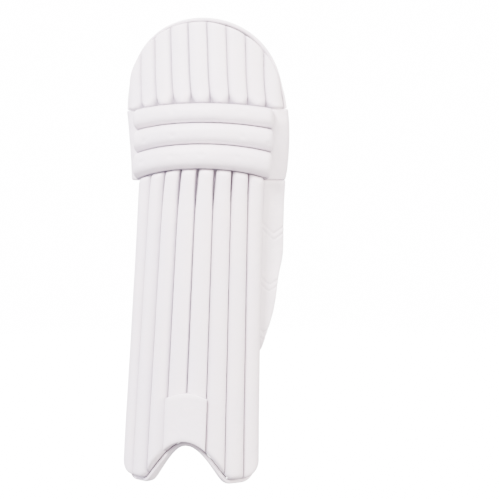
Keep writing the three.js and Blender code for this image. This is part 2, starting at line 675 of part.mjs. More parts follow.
add("backing", backing(), WHITE_FABRIC);
add("edge_binding", edgeBinding(), WHITE_LEATHER);
for (let number = 1; number <= ROLL_COUNT; number += 1) {
  add("shin_roll_" + number, shinRoll(number), WHITE_LEATHER);
}
for (let number = 1; number < KNEE_SEAMS.length; number += 1) {
  add("knee_roll_" + number, kneeRoll(number), WHITE_LEATHER);
}
eachSide("knee_side", kneeSide, WHITE_LEATHER);
add("knee_flap", kneeFlap(), WHITE_LEATHER);
add("flap_binding", flapBinding(), WHITE_LEATHER);
add("flap_lining", flapLining(), TEAL_FABRIC);
add("wing", wing(), WHITE_LEATHER);
add("instep_plate", instepPlate(), WHITE_LEATHER);
add("shin_bolster", shinBolster(), TEAL_FABRIC);
eachSide("side_bolster", sideBolster, WHITE_LEATHER);
add("instep_lining", instepLining(), WHITE_FABRIC);
add("knee_wrap", strap(KNEE_WRAP_FOOT, KNEE_WRAP_HEIGHT, KNEE_WRAP_THICKNESS, 4), WHITE_LEATHER);
add("knee_wrap_roll", kneeWrapRoll(), WHITE_LEATHER);
add("knee_tab", tab(KNEE_TAB, KNEE_WRAP_FOOT, KNEE_WRAP_THICKNESS), TEAL_TAPE);
add("calf_strap", strap(CALF_STRAP_FOOT, CALF_STRAP_HEIGHT, STRAP_THICKNESS, 4), WHITE_LEATHER);
add("calf_tab", tab(CALF_TAB, CALF_STRAP_FOOT, STRAP_THICKNESS), WHITE_LEATHER);
add("ankle_strap", strap(ANKLE_STRAP_FOOT, ANKLE_STRAP_HEIGHT, STRAP_THICKNESS, 4), WHITE_LEATHER);
add("ankle_tab", tab(ANKLE_TAB, ANKLE_STRAP_FOOT, STRAP_THICKNESS), TEAL_TAPE);
add("hook_patch", hookPatch(), GREY_HOOK);

// The origin is on the floor, under the middle of the whole pad.
const bounds = new THREE.Box3().setFromObject(pad);
const centre = bounds.getCenter(new THREE.Vector3());
pad.position.set(-centre.x, -centre.y, -bounds.min.z);

export default pad;
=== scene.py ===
"""A cricket batting pad: padded covers, stitching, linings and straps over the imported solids."""

import math

import bmesh
import bpy
from bpy.props import FloatProperty, FloatVectorProperty, PointerProperty
from mathutils import Matrix, Vector, noise


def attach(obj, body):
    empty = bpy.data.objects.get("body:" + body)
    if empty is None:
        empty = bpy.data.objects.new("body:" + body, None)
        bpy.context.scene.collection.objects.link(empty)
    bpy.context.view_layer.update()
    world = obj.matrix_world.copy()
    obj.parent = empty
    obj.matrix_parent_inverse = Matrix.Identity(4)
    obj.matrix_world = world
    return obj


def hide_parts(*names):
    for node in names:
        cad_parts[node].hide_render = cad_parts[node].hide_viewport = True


bl_info = {
    "name": "Batting Pad",
    "version": (1, 0, 0),
    "blender": (4, 5, 0),
    "location": "View3D > Sidebar > Batting Pad",
    "description": "Builds the padded covers of a cricket batting pad around its packed solids",
    "category": "Object",
}

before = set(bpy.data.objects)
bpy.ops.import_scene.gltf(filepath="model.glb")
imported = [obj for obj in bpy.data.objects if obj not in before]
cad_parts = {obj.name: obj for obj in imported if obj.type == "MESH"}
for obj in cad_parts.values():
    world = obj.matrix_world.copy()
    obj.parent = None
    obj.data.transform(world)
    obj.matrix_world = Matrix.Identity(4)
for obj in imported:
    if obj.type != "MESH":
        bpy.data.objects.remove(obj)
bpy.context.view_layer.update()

MM = 0.001
ROLLS = 8
CHANNELS = 9

# Levels of the form: shares of the shin, knee and flap heights, then open, reach and lean.
LEVELS = [
    (0.0, 0, 0, 0, -1.3, 0.0),
    (0.16, 0, 0, 0, -0.6, 0.08),
    (0.25, 0, 0, 0, -0.28, 0.13),
    (0.35, 0, 0, 0, 0.0, 0.2),
    (0.45, 0, 0, 0, 0.1, 0.28),
    (0.56, 0, 0, 0.0, 0.12, 0.37),
    (0.67, 0, 0, 0.01, 0.1, 0.47),
    (0.77, 0, 0, 0.04, 0.05, 0.56),
    (0.86, 0, 0, 0.12, 0.0, 0.65),
    (0.93, 0, 0, 0.23, 0.0, 0.73),
    (1.0, 0.0, 0, 0.4, 0.0, 0.84),
    (1.0, 0.35, 0, 0.62, 0.0, 0.94),
    (1.0, 0.69, 0, 0.79, 0.02, 0.97),
    (1.0, 1.0, 0, 0.89, 0.1, 0.93),
    (1.0, 1.0, 0.3, 0.95, 0.35, 0.88),
    (1.0, 1.0, 0.6, 0.98, 0.65, 0.9),
    (1.0, 1.0, 1.0, 1.0, 1.0, 0.93),
]
KNEE_SEAMS = [(0.0, 1.0), (0.375, 0.8), (0.7, 0.6), (1.0, 0.45)]  # height share, arch share
WING_EDGE = [  # share up, width share, flare share
    (0.0, 0.17, 0.1),
    (0.05, 0.25, 0.3),
    (0.13, 0.42, 0.5),
    (0.23, 0.59, 0.7),
    (0.31, 0.64, 0.85),
    (0.44, 0.74, 0.95),
    (0.58, 0.94, 1.0),
    (0.8, 0.98, 0.8),
    (1.0, 1.0, 0.6),
]
LINING_SEAMS = [-1, -0.875, -0.625, -0.375, 0.375, 0.625, 0.875, 1]


def length(name, description, millimetres):
    return FloatProperty(name=name, description=description, default=millimetres * MM, unit="LENGTH")


def colour(name, description, value):
    return FloatVectorProperty(
        name=name, description=description, default=value, size=3, subtype="COLOR", min=0, max=1
    )


class PadSizes(bpy.types.PropertyGroup):
    """Sizes of the pad's form."""

    middle_x: length("Middle line", "Place of the shin's middle line at the foot, across", -22.904)
    front_y: length("Front line", "Place of the carrier's front face on the middle line", -34.354)
    shin_height: length("Shin height", "Floor to the lowest knee roll", 467)
    knee_height: length("Knee height", "The three knee rolls together", 96)
    flap_height: length("Flap height", "Knee flap above the knee rolls", 127)
    shin_radius: length("Shin bend", "Bend of the carrier round the shin", 110)
    flap_radius: length("Flap bend", "Bend of the carrier at the flap's top", 165)
    front_reach: length("Front reach", "Kick of the foot and tilt of the flap", 8)
    side_lean: length("Side lean", "Lean of the top to the wing side", 24)
    roll_thickness: length("Roll thickness", "Thickness of a shin roll", 17)
    roll_pitch_foot: length("Roll pitch, foot", "Width of a shin roll at the foot", 28.4)
    roll_pitch_top: length("Roll pitch, top", "Width of a shin roll at the knee", 23.9)
    knee_roll_length: length("Knee roll length", "Length of a knee roll", 208)
    knee_roll_thickness: length("Knee roll thickness", "Thickness of a knee roll", 27)
    flap_width: length("Flap width", "Width of the knee flap over its binding", 256)
    wing_width: length("Wing width", "Widest part of the quilted wing", 40)


class PadColours(bpy.types.PropertyGroup):
    """Colours of the pad's finishes."""

    leather: colour("White leather", "Coated cover of the rolls", (0.95, 0.885, 0.94))
    # Painted shade: the colour the leather is darkened towards in its seams and grooves.
    leather_shade: colour("Leather in seams", "Cover deep in its seams", (0.3, 0.26, 0.32))
    # Dark grey groove stitches: partly the thread's colour and partly painted shade of the stitch holes.
    stitches: colour("Stitches", "Stitch marks in the grooves of the front", (0.2, 0.17, 0.22))
    lining: colour("Lining", "Shin bolster cloth", (0.014, 0.118, 0.145))
    lining_dark: colour("Dark print", "Dark bands of the flap lining", (0.014, 0.027, 0.034))
    lining_light: colour("Light print", "Light bands of the flap lining", (0.026, 0.165, 0.195))
    tape: colour("Tape", "Stripes and tabs of the straps", (0.01, 0.125, 0.115))
    mesh: colour("Mesh", "Open mesh of the instep lining", (0.93, 0.9, 0.97))
    hook: colour("Hook patch", "Hook pile", (0.26, 0.3, 0.29))


def mix(a, b, share):
    return a + (b - a) * share


def clamp(value, low=0.0, high=1.0):
    return max(low, min(high, value))


def smooth(share):
    share = clamp(share)
    return share * share * (3 - 2 * share)


def bunched(share):
    """Evenly spaced shares bunched towards both ends."""
    return 0.5 - 0.5 * math.cos(math.pi * share)


def arched(share, fullness=2.0, power=0.5):
    """A section over a width: 0 at both edges, 1 in the middle, flatter with more fullness."""
    return max(0.0, 1 - abs(2 * share - 1) ** fullness) ** power


def shoulders(share, width):
    """A flat top with round shoulders."""
    inset = min(share, 1 - share)
    return 1.0 if inset >= width else math.sqrt(max(0.0, 1 - (1 - inset / width) ** 2))


def ridge(distance, width):
    """A bell of a half width: 1 on its line, 0 far from it."""
    return math.exp(-((distance / width) ** 2))


def rumple(x, y, seed, grain):
    """Soft unevenness of stuffed cloth, from -1 to 1, with folds of about the grain's size in metres."""
    return noise.noise(Vector((x / grain, y / grain, seed * 7.31)))


def curve_through(rows, at):
    """The values of a table at a key, by a smooth curve through its rows."""
    last = len(rows) - 1
    i = 0
    while i < last - 1 and rows[i + 1][0] < at:
        i += 1
    a, b = rows[i], rows[i + 1]
    span = b[0] - a[0]
    t = clamp((at - a[0]) / span)
    before, after = rows[max(0, i - 1)], rows[min(last, i + 2)]
    values = []
    for k in range(1, len(a)):
        into = (b[k] - before[k]) / (b[0] - before[0]) * span
        out = (after[k] - a[k]) / (after[0] - a[0]) * span
        values.append(
            (2 * t**3 - 3 * t**2 + 1) * a[k]
            + (t**3 - 2 * t**2 + t) * into
            + (3 * t**2 - 2 * t**3) * b[k]
            + (t**3 - t**2) * out
        )
    return values


class Form:
    """The pad's curved form. along is the arc length from the middle line on the carrier's front
    face, up the height and out the distance in front of that face, all in metres."""

    BACKING = 8 * MM
    BINDING = 7 * MM
    ARCH_HEIGHT = 57 * MM
    ARCH_WIDTH = 130 * MM
    ARCH_FULLNESS = 0.6
    CORNER_WIDTH = 26 * MM
    CORNER_HEIGHT = 28 * MM
    CORNER_BEND = 0.93
    SEAM_ARCH = 15 * MM
    SIDE_FOOT = {-1: 26.5 * MM, 1: 42 * MM}  # widths beside the knee rolls, left and right
    SIDE_TOP = {-1: 34 * MM, 1: 31.5 * MM}
    FLAP_SIDE = 4 * MM
    FLAP_SPLAY = 7 * MM
    FLAP_SPLAY_HEIGHT = 34 * MM
    FLAP_BINDING = 6 * MM
    WING_HEIGHT = 258 * MM
    WING_FLARE = 18 * MM
    BOLSTER_FOOT = 122 * MM
    INSTEP_EDGE = 5 * MM
    LIP = 1.5 * MM
    STRAP_BOW = 6 * MM

    def __init__(self, sizes):
        self.s = sizes
        self.height = sizes.shin_height + sizes.knee_height + sizes.flap_height
        self.rows = [
            (
                shin * sizes.shin_height + knee * sizes.knee_height + flap * sizes.flap_height,
                mix(sizes.shin_radius, sizes.flap_radius, opened),
                reach * sizes.front_reach,
                lean * sizes.side_lean,
            )
            for shin, knee, flap, opened, reach, lean in LEVELS
        ]
        self.known = {}
        self.side_top = sizes.shin_height - self.SEAM_ARCH
        self.wing_foot = self.side_top - self.WING_HEIGHT
        self.lining_foot = sizes.shin_height + sizes.knee_height - 29 * MM
        self.bolster_top = sizes.shin_height - 11 * MM
        self.side_arc = sizes.shin_height + sizes.knee_height + self.FLAP_SIDE

    def level(self, up):
        key = round(up, 6)
        if key not in self.known:
            self.known[key] = curve_through(self.rows, key)
        return self.known[key]

    def lay(self, along, up, out):
        radius, front, middle = self.level(up)
        angle = along / radius
        return Vector((
            self.s.middle_x + middle + (radius + out) * math.sin(angle),
            self.s.front_y + front + radius - (radius + out) * math.cos(angle),
            up,
        ))

    def facing(self, along, up):
        """The direction straight out of the form."""
        angle = along / self.level(up)[0]
        return Vector((math.sin(angle), -math.cos(angle), 0))

    def pitch(self, up):
        return mix(self.s.roll_pitch_foot, self.s.roll_pitch_top, up / self.s.shin_height)

    def roll_seam(self, number, up):
        return (number - ROLLS / 2) * self.pitch(up)

    def rolls_edge(self, up):
        return self.roll_seam(ROLLS, up)

    def foot(self, along):
        """The line on which the foot's binding is sewn."""
        away = abs(along)
        start = self.rolls_edge(0) - self.CORNER_WIDTH
        inside = away < self.ARCH_WIDTH / 2
        wave = 0.5 + 0.5 * math.cos(2 * math.pi * away / self.ARCH_WIDTH) if inside else 0
        arch = self.ARCH_HEIGHT * max(0.0, wave) ** self.ARCH_FULLNESS
        share = clamp((away - start) / self.CORNER_WIDTH)
        drop = 1 - math.sqrt(1 - (self.CORNER_BEND * share) ** 2)
        whole = 1 - math.sqrt(1 - self.CORNER_BEND**2)
        return self.BINDING + arch + self.CORNER_HEIGHT * drop / whole

    def knee_seam(self, number, along):
        height, arch = KNEE_SEAMS[number]
        share = along / (self.s.knee_roll_length / 2)
        sag = arch * self.SEAM_ARCH * min(share * share, 1)
        return self.s.shin_height + height * self.s.knee_height - sag

    def knee_edge(self, side, up):
        height = clamp((up - self.s.shin_height) / self.s.knee_height)
        return self.s.knee_roll_length / 2 + mix(self.SIDE_FOOT[side], self.SIDE_TOP[side], height)

    def flap_top(self, along, inset):
        half = self.s.flap_width / 2 - inset
        rise = self.height - inset - self.side_arc
        return self.side_arc + rise * math.sqrt(max(0.0, 1 - (along / half) ** 2))

    def flap_column(self, column, up):
        """The arc length at which a column of the flap passes a height."""
        half = self.s.flap_width / 2
        low = 1 - clamp((up - self.knee_seam(3, half)) / self.FLAP_SPLAY_HEIGHT)
        return column + self.FLAP_SPLAY * (column / half) ** 5 * low

    def wing_edge(self, up):
        width, flare = curve_through(WING_EDGE, (up - self.wing_foot) / self.WING_HEIGHT)
        return self.rolls_edge(up) + self.s.wing_width * width, self.WING_FLARE * flare

    def rear_edge(self, side, up):
        if up > self.side_top - 0.3 * MM:
            return self.lay(side * self.knee_edge(side, up), up, -self.BACKING)
        if side > 0 and up > self.wing_foot:
            edge, flare = self.wing_edge(up)
            return self.lay(edge, up, flare - 0.4 * self.BACKING)
        rear = -self.BACKING - self.LIP - (self.INSTEP_EDGE if up < self.BOLSTER_FOOT else 0)
        return self.lay(side * (self.rolls_edge(up) + self.BINDING / 2), up, rear)

    def strap_ends(self, up):
        middle = self.lay(0, up, 0).x
        return self.rear_edge(-1, up).x - middle, self.rear_edge(1, up).x - middle

    def on_strap(self, across, up, out):
        """The point of a closed strap's curve behind the pad."""
        left, right = self.rear_edge(-1, up), self.rear_edge(1, up)
        x = self.lay(0, up, 0).x + across
        share = (x - left.x) / (right.x - left.x)
        bow = self.STRAP_BOW * (1 - (2 * share - 1) ** 2)
        return Vector((x, mix(left.y, right.y, share) + bow + 0.4 * MM + out, up))


class Value:
    """A shader socket whose arithmetic adds Math nodes."""

    def __init__(self, finish, socket):
        self.finish = finish
        self.socket = socket

    def maths(self, operation, *operands):
        return self.finish.node("Math", {"operation": operation}, dict(enumerate(operands)))

    def __add__(self, other):
        return self.maths("ADD", self, other)

    __radd__ = __add__

    def __sub__(self, other):
        return self.maths("SUBTRACT", self, other)

    def __rsub__(self, other):
        return self.maths("SUBTRACT", other, self)

    def __mul__(self, other):
        return self.maths("MULTIPLY", self, other)

    __rmul__ = __mul__

    def __pow__(self, other):
        return self.maths("POWER", self, other)

    def folded(self, period):
        """A triangle wave from 0 to 1 over each period."""
        return self.maths("PINGPONG", self, period / 2) * (2 / period)

    def above(self, level, softness):
        """0 below a level and 1 above it, over a soft step."""
        step = {"From Min": level - softness / 2, "From Max": level + softness / 2}
        return self.finish.node("MapRange", {"interpolation_type": "SMOOTHSTEP"}, {"Value": self, **step})

    def both(self, other):
        return self.maths("MINIMUM", self, other)

    def either(self, other):
        return self.maths("MAXIMUM", self, other)


class Finish:
    """A procedural material on the principled shader."""

    MIX_SOCKETS = {"FLOAT": (2, 3, 0), "RGBA": (6, 7, 2)}

    def __init__(self, name):
        self.material = bpy.data.materials.new(name)
        self.material.use_nodes = True
        self.tree = self.material.node_tree
        self.shader = self.tree.nodes["Principled BSDF"]
        self.place = self.node("TexCoord", output="Object")

    def node(self, kind, settings=None, inputs=None, output=0):
        made = self.tree.nodes.new("ShaderNode" + kind)
        for key, value in (settings or {}).items():
            setattr(made, key, value)
        for key, value in (inputs or {}).items():
            self.feed(made.inputs[key], value)
        return Value(self, made.outputs[output])

    def feed(self, socket, value):
        if isinstance(value, Value):
            self.tree.links.new(value.socket, socket)
        else:
            socket.default_value = value

    def shade(self, **sockets):
        for key, value in sockets.items():
            self.feed(self.shader.inputs[key.replace("_", " ")], value)
        return self

    def speckle(self, size, detail=2.0, roughness=0.5, at=None):
        """Noise from 0 to 1 with features of a size in metres."""
        inputs = {"Vector": at or self.place, "Scale": 1 / size, "Detail": detail, "Roughness": roughness}
        return self.node("TexNoise", None, inputs)

    def cells(self, size, feature="F1", at=None):
        inputs = {"Vector": at or self.place, "Scale": 1 / size}
        return self.node("TexVoronoi", {"feature": feature}, inputs)

    def blend(self, share, first, second):
        """A colour between two colours."""
        a, b, out = self.MIX_SOCKETS["RGBA"]
        return self.node("Mix", {"data_type": "RGBA"}, {0: share, a: opaque(first), b: opaque(second)}, out)

    def attribute(self, name):
        return self.node("Attribute", {"attribute_name": name}, output="Fac")

    def flat_place(self):
        """The piece's own flat coordinates in metres, across and up."""
        uv = self.node("UVMap")
        parts = self.tree.nodes.new("ShaderNodeSeparateXYZ")
        self.tree.links.new(uv.socket, parts.inputs[0])
        return Value(self, parts.outputs[0]), Value(self, parts.outputs[1])

    def relief(self, height, depth, under=None):
        """A bump of a depth in metres, over another one."""
        inputs = {"Height": height, "Distance": depth, "Strength": 1.0}
        if under:
            inputs["Normal"] = under
        return self.node("Bump", None, inputs)


def opaque(value):
    return value if isinstance(value, Value) else (*value[:3], 1.0)


def leather_finish(name, tone, shade, roughness=0.5):
    """Coated white leather: fine grain, faint mottling, and painted shade in its seams."""
    f = Finish(name)
    mottle = f.speckle(0.07, 3)
    warm = tuple(clamp(c * k) for c, k in zip(tone, (1.05, 1.035, 1.0)))
    face = f.blend(mottle.above(0.5, 0.5), tone, warm)
    # Painted shade: the seam share darkens the leather towards the shade colour in its grooves and seams.
    deep = f.attribute("seam") ** 1.8
    grain = f.cells(0.0009)
    fine = f.speckle(0.0005, 3)
    creases = f.speckle(0.012, 4, 0.55)
    normal = f.relief(creases, 0.0009)
    normal = f.relief(grain * 0.7 + fine * 0.3, 0.00006, normal)
    return f.shade(
        Base_Color=f.blend(deep * 0.75, face, shade),
        Roughness=roughness + mottle * 0.1 - grain * 0.06,
        Normal=normal,
    ).material


def cloth_finish(name, tone, thread=0.0008, sheen=0.05):
    """Plain woven cloth that follows the piece's own flat coordinates, with painted shade in its seams."""
    f = Finish(name)
    across, up = f.flat_place()
    warp = across.folded(thread * 2)
    weft = up.folded(thread * 2)
    weave = (warp * weft).either((1 - warp) * (1 - weft))
    mottle = f.speckle(0.03, 3)
    dark = tuple(c * 0.72 for c in tone)
    # Painted shade: the seam share darkens the cloth in its seams and towards its rims.
    deep = f.attribute("seam")
    face = f.blend(weave * 0.35 + mottle * 0.5, dark, tone)
    normal = f.relief(weave, 0.0002, f.relief(f.speckle(0.015, 4), 0.0008))
    f.shade(
        Base_Color=f.blend(deep * 0.7, face, tuple(c * 0.35 for c in tone)),
        Roughness=0.75 + weave * 0.15,
        Normal=normal,
        Specular_IOR_Level=0.2,
        Sheen_Weight=sheen,
    )
    return f.material


def print_finish(name, dark, mid, light):
    """Lining cloth printed with wavy bands of three tones, with painted shade in its seams."""
    f = Finish(name)
    across, up = f.flat_place()
    sway = f.speckle(0.11, 1) * 0.06
    bands = (up + sway + across * 0.12).folded(0.052)
    fine = (up + sway * 1.6 - across * 0.1).folded(0.031)
    weave = across.folded(0.0011) * up.folded(0.0011)
    face = f.blend(bands.above(0.5, 0.03), dark, mid)
    face = f.blend(fine.above(0.82, 0.03), face, light)
    face = f.blend(fine.above(0.16, 0.03), tuple(c * 0.9 for c in dark), face)
    # Painted shade in the seams and rims, with a faint darkening along the weave.
    face = f.blend(f.attribute("seam") * 0.6 + weave * 0.08, face, tuple(c * 0.3 for c in dark))
    normal = f.relief(weave, 0.00015, f.relief(f.speckle(0.02, 4), 0.0008))
    f.shade(Base_Color=face, Roughness=0.62 + weave * 0.2, Normal=normal)
    return f.shade(Specular_IOR_Level=0.2, Sheen_Weight=0.03).material


def mesh_finish(name, tone):
    """Open knitted mesh with staggered diamond holes, the holes and seams painted dark as shade."""
    f = Finish(name)
    across, up = f.flat_place()
    size = 0.0046
    one = (across + up).folded(size)
    two = (across - up).folded(size)
    hole = one.both(two).above(0.5, 0.3)
    threads = (across + up).folded(0.0006) * (across - up).folded(0.0006)
    # Painted shade: the holes are painted near black, and the seam share darkens the mesh in its seams.
    shade = tuple(c * 0.2 for c in tone)
    face = f.blend(hole * 0.9, tone, shade)
    face = f.blend(f.attribute("seam") * 0.7, face, tuple(c * 0.4 for c in tone))
    normal = f.relief(threads, 0.0002, f.relief(1 - hole, 0.0009))
    return f.shade(Base_Color=face, Roughness=0.8 + threads * 0.1, Normal=normal, Sheen_Weight=0.2).material


def tape_finish(name, tone):
    """Coated woven tape, ribbed across its width."""
    f = Finish(name)
    across, up = f.flat_place()
    ribs = across.folded(0.0012)
    wear = f.speckle(0.009, 4)
    face = f.blend(wear * 0.5 + ribs * 0.15, tone, tuple(clamp(c * 0.7) for c in tone))
    normal = f.relief(ribs * up.folded(0.0009), 0.00018, f.relief(f.speckle(0.006, 3), 0.0003))
    return f.shade(Base_Color=face, Roughness=0.55 + wear * 0.15, Normal=normal, Specular_IOR_Level=0.3).material


def stripe_finish(name, tone, ground, shade):
    """White tab with slanted stripes in its inner part, inside a plain border."""
    f = Finish(name)
    across, up = f.flat_place()
    slant = (across - up * 0.75).folded(0.0125).above(0.5, 0.06)
    inner = across.above(0.0035, 0.0006) * (1 - across.above(0.047, 0.0006))
    inner = inner * up.above(0.0055, 0.0006) * (1 - up.above(0.0365, 0.0006))
    pressed = f.speckle(0.004, 3)
    face = f.blend((slant * inner).both(1.0 - pressed * 0.06), ground, tone)
    # Painted shade: the seam share darkens the tab towards the leather shade colour along its stitch line.
    face = f.blend(f.attribute("seam") * 0.6, face, shade)
    normal = f.relief(f.cells(0.0009), 0.00006, f.relief(slant * inner, 0.00012))
    return f.shade(Base_Color=face, Roughness=0.48 + pressed * 0.1, Normal=normal).material


def hook_finish(name, tone):
    """Rows of short stiff hooks."""
    f = Finish(name)
    across, up = f.flat_place()
    rows = across.folded(0.0013) * up.folded(0.0016)
    face = f.blend(rows, tuple(c * 0.5 for c in tone), tuple(clamp(c * 1.5) for c in tone))
    normal = f.relief(rows, 0.0006, f.relief(f.speckle(0.0007, 3), 0.0003))
    return f.shade(Base_Color=face, Roughness=0.7 + rows * 0.2, Normal=normal).material


def thread_finish(name, tone):
    f = Finish(name)
    twist = f.speckle(0.0005, 2)
    face = f.blend(twist, tuple(c * 0.85 for c in tone), tone)
    return f.shade(Base_Color=face, Roughness=0.6 + twist * 0.1, Normal=f.relief(twist, 0.0001)).material


def floor_finish():
    f = Finish("pale_floor")
    faint = f.speckle(0.9, 3)
    face = f.blend(faint, (0.5, 0.5, 0.51), (0.54, 0.54, 0.54))
    f.shade(Base_Color=face, Roughness=0.9 + faint * 0.05)
    return f.shade(Emission_Color=(1.0, 1.0, 1.0, 1.0), Emission_Strength=15.0).material


def kept(name, make, *tones):
    """A material by name, made on its first use."""
    return bpy.data.materials.get(name) or make(name, *tones)


def white_leather(colours):
    return kept("coated_leather", leather_finish, colours.leather, colours.leather_shade)


def white_thread(colours):
    return kept("white_thread", thread_finish, tuple(c * 0.9 for c in colours.leather))


# Stitches in the front grooves, darkened partly as painted shade of the stitch holes.
def groove_thread(colours):
    return kept("groove_thread", thread_finish, tuple(colours.stitches))


def moulded(columns, rows, shape, lay):
    """A closed form: a grid and the grid extruded from it, whose points shape(u, v, front) places as
    (along, up, out, seam) and lay takes to space. seam, the share of painted shade, is 1 deep in a seam and 0 on the
    open face."""
    bm = bmesh.new()
    bmesh.ops.create_grid(bm, x_segments=columns, y_segments=rows, size=0.5)
    flat = bm.loops.layers.uv.new("UVMap")
    seam = bm.verts.layers.float.new("seam")
    raised = bmesh.ops.extrude_face_region(bm, geom=bm.faces[:])["geom"]
    front = {item for item in raised if isinstance(item, bmesh.types.BMVert)}
    places = {}
    for vert in bm.verts:
        along, up, out, deep = shape(vert.co.x + 0.5, vert.co.y + 0.5, vert in front)
        places[vert] = (along, up)
        vert[seam] = deep
        vert.co = lay(along, up, out)
    for face in bm.faces:
        for loop in face.loops:
            loop[flat].uv = places[loop.vert]
    bmesh.ops.recalc_face_normals(bm, faces=bm.faces[:])
    return bm


def tube(stations, sides, section, closed=False):
    """A closed tube: a grid wrapped round a run of stations, whose points section(i, angle) gives."""
    bm = bmesh.new()
    bmesh.ops.create_grid(bm, x_segments=stations - 1, y_segments=sides, size=0.5)
    flat = bm.loops.layers.uv.new("UVMap")
    bm.verts.layers.float.new("seam")
    places = {}
    for vert in bm.verts:
        i = round((vert.co.x + 0.5) * (stations - 1))
        turn = vert.co.y + 0.5
        vert.co, places[vert] = section(i, turn * 2 * math.pi)
    for face in bm.faces:
        for loop in face.loops:
            loop[flat].uv = places[loop.vert]
    bmesh.ops.remove_doubles(bm, verts=bm.verts[:], dist=1e-6)
    ends = [edge for edge in bm.edges if edge.is_boundary]
    bmesh.ops.holes_fill(bm, edges=ends, sides=0)
    bmesh.ops.recalc_face_normals(bm, faces=bm.faces[:])
    return bm


def piece(name, bm, material, replaced=(), refine=1):
    """Makes a finished piece that rides on the pad and stands for its solids."""
    data = bpy.data.meshes.new(name)
    bm.to_mesh(data)
    bm.free()
    data.polygons.foreach_set("use_smooth", [True] * len(data.polygons))
    data.materials.append(material)
    made = bpy.data.objects.new(name, data)
    bpy.context.scene.collection.objects.link(made)
    if refine:
        finer = made.modifiers.new("Soft surface", "SUBSURF")
        finer.levels = finer.render_levels = refine
    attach(made, "root")
    if replaced:
        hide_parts(*replaced)
    return made


def stitched(name, runs, material, pitch=2.6 * MM, size=(0.85 * MM, 0.5 * MM, 0.35 * MM)):
    """Threads that dip in and out along runs of (point, outward direction)."""
    joined = bmesh.new()
    for run in runs:
        bm = bmesh.new()
        lengths = [0.0]
        for (a, _), (b, _) in zip(run, run[1:]):
            lengths.append(lengths[-1] + (b - a).length)
        i = 0
        for k in range(int(lengths[-1] / pitch)):
            at = (k + 0.5) * pitch
            while lengths[i + 1] < at:
                i += 1
            share = (at - lengths[i]) / (lengths[i + 1] - lengths[i])
            point = run[i][0].lerp(run[i + 1][0], share)
            outward = run[i][1].lerp(run[i + 1][1], share).normalized()
            onward = (run[i + 1][0] - run[i][0]).normalized()
            sideways = outward.cross(onward).normalized()
            turn = Matrix((onward, sideways, outward)).transposed().to_4x4()
            place = Matrix.Translation(point) @ turn @ Matrix.Diagonal((*size, 1.0))
            bmesh.ops.create_icosphere(bm, subdivisions=1, radius=1.0, matrix=place)
        scratch = bpy.data.meshes.new("run")
        bm.to_mesh(scratch)
        bm.free()
        joined.from_mesh(scratch)
        bpy.data.meshes.remove(scratch)
    return piece(name, joined, material, refine=0)


def run_on(form, points, out):
    """A run on the form from points (along, up)."""
    return [(form.lay(a, u, out), form.facing(a, u)) for a, u in points]


class PadOperator:
    """What the operators share: the form, the colours and how they end."""

    bl_options = {"REGISTER", "UNDO"}

    def execute(self, context):
        self.colours = context.scene.pad_colours
        self.form = Form(context.scene.pad_sizes)
        self.build()
        return {"FINISHED"}


class PAD_OT_shin_rolls(PadOperator, bpy.types.Operator):
    """Add the eight long padded rolls of the shin"""

    bl_idname = "pad.shin_rolls"
    bl_label = "Shin Rolls"

    # How far the seams part under the knee rolls, and over what height.
    PARTING = [0, 0.9, 1.5, 2.4, 3.6, 3.6, 2.5, 1.6, 0]
    PARTED = 56 * MM

    def build(self):
        form = self.form
        for number in range(1, ROLLS + 1):
            bm = moulded(16, 90, self.roll(number), form.lay)
            piece(
                f"shin_roll_cover_{number}", bm, white_leather(self.colours),
                [f"shin_roll_{number}"],
            )
        runs = []
        for number in range(1, ROLLS):
            points = []
            for k in range(60):
                up = mix(0.08, 0.94, k / 59) * form.side_top
                along = form.roll_seam(number, up)
                foot = form.foot(along) + 4 * MM
                if number == 4:
                    foot += 75 * MM
                if up > foot:
                    points.append((along, up))
            runs.append(run_on(form, points, 8.6 * MM))
        stitched("shin_roll_threads", runs, groove_thread(self.colours))

    def parted(self, number, up):
        return self.PARTING[number] * MM * smooth((up - self.form.side_top + self.PARTED) / self.PARTED) / 2

    def roll(self, number):
        form = self.form
        thick = form.s.roll_thickness

        def shape(u, v, front):
            share = mix(v, bunched(v), 0.4)
            across = bunched(u)
            up = share * form.side_top
            for _ in range(5):
                left = form.roll_seam(number - 1, up) + 0.15 * MM + self.parted(number - 1, up)
                right = form.roll_seam(number, up) - 0.15 * MM - self.parted(number, up)
                along = mix(left, right, across)
                foot, top = form.foot(along) + 0.6 * MM, form.knee_seam(0, along) - 0.2 * MM
                up = mix(foot, top, share)
            if not front:
                return along, up, 0.5 * MM, 1.0
            section = arched(across, 2.3, 0.5)
            ends = mix(0.55, 1, shoulders(share, 0.022))
            body = mix(7 * MM, ends * thick, section)
            near_top = smooth((up - form.side_top + 60 * MM) / (60 * MM))
            near_foot = smooth(1 - (up - foot) / (45 * MM))
            swell = 0.5 * MM * rumple(number * 0.3, up, number, 0.055)
            folds = (0.25 + 0.7 * near_top + 0.3 * near_foot) * MM * rumple(along, up * 0.45, number + 3, 0.009)
            tugs = 0.28 * MM * math.sin(up / (1.15 * MM)) * ridge(min(u, 1 - u), 0.16)
            out = body + section * (swell + folds * 0.5) + tugs * (1 - section)
            # The fourth value is painted shade, darkest in the grooves between rolls.
            return along, up, out, clamp(1.2 - section * 1.2) ** 1.6

        return shape


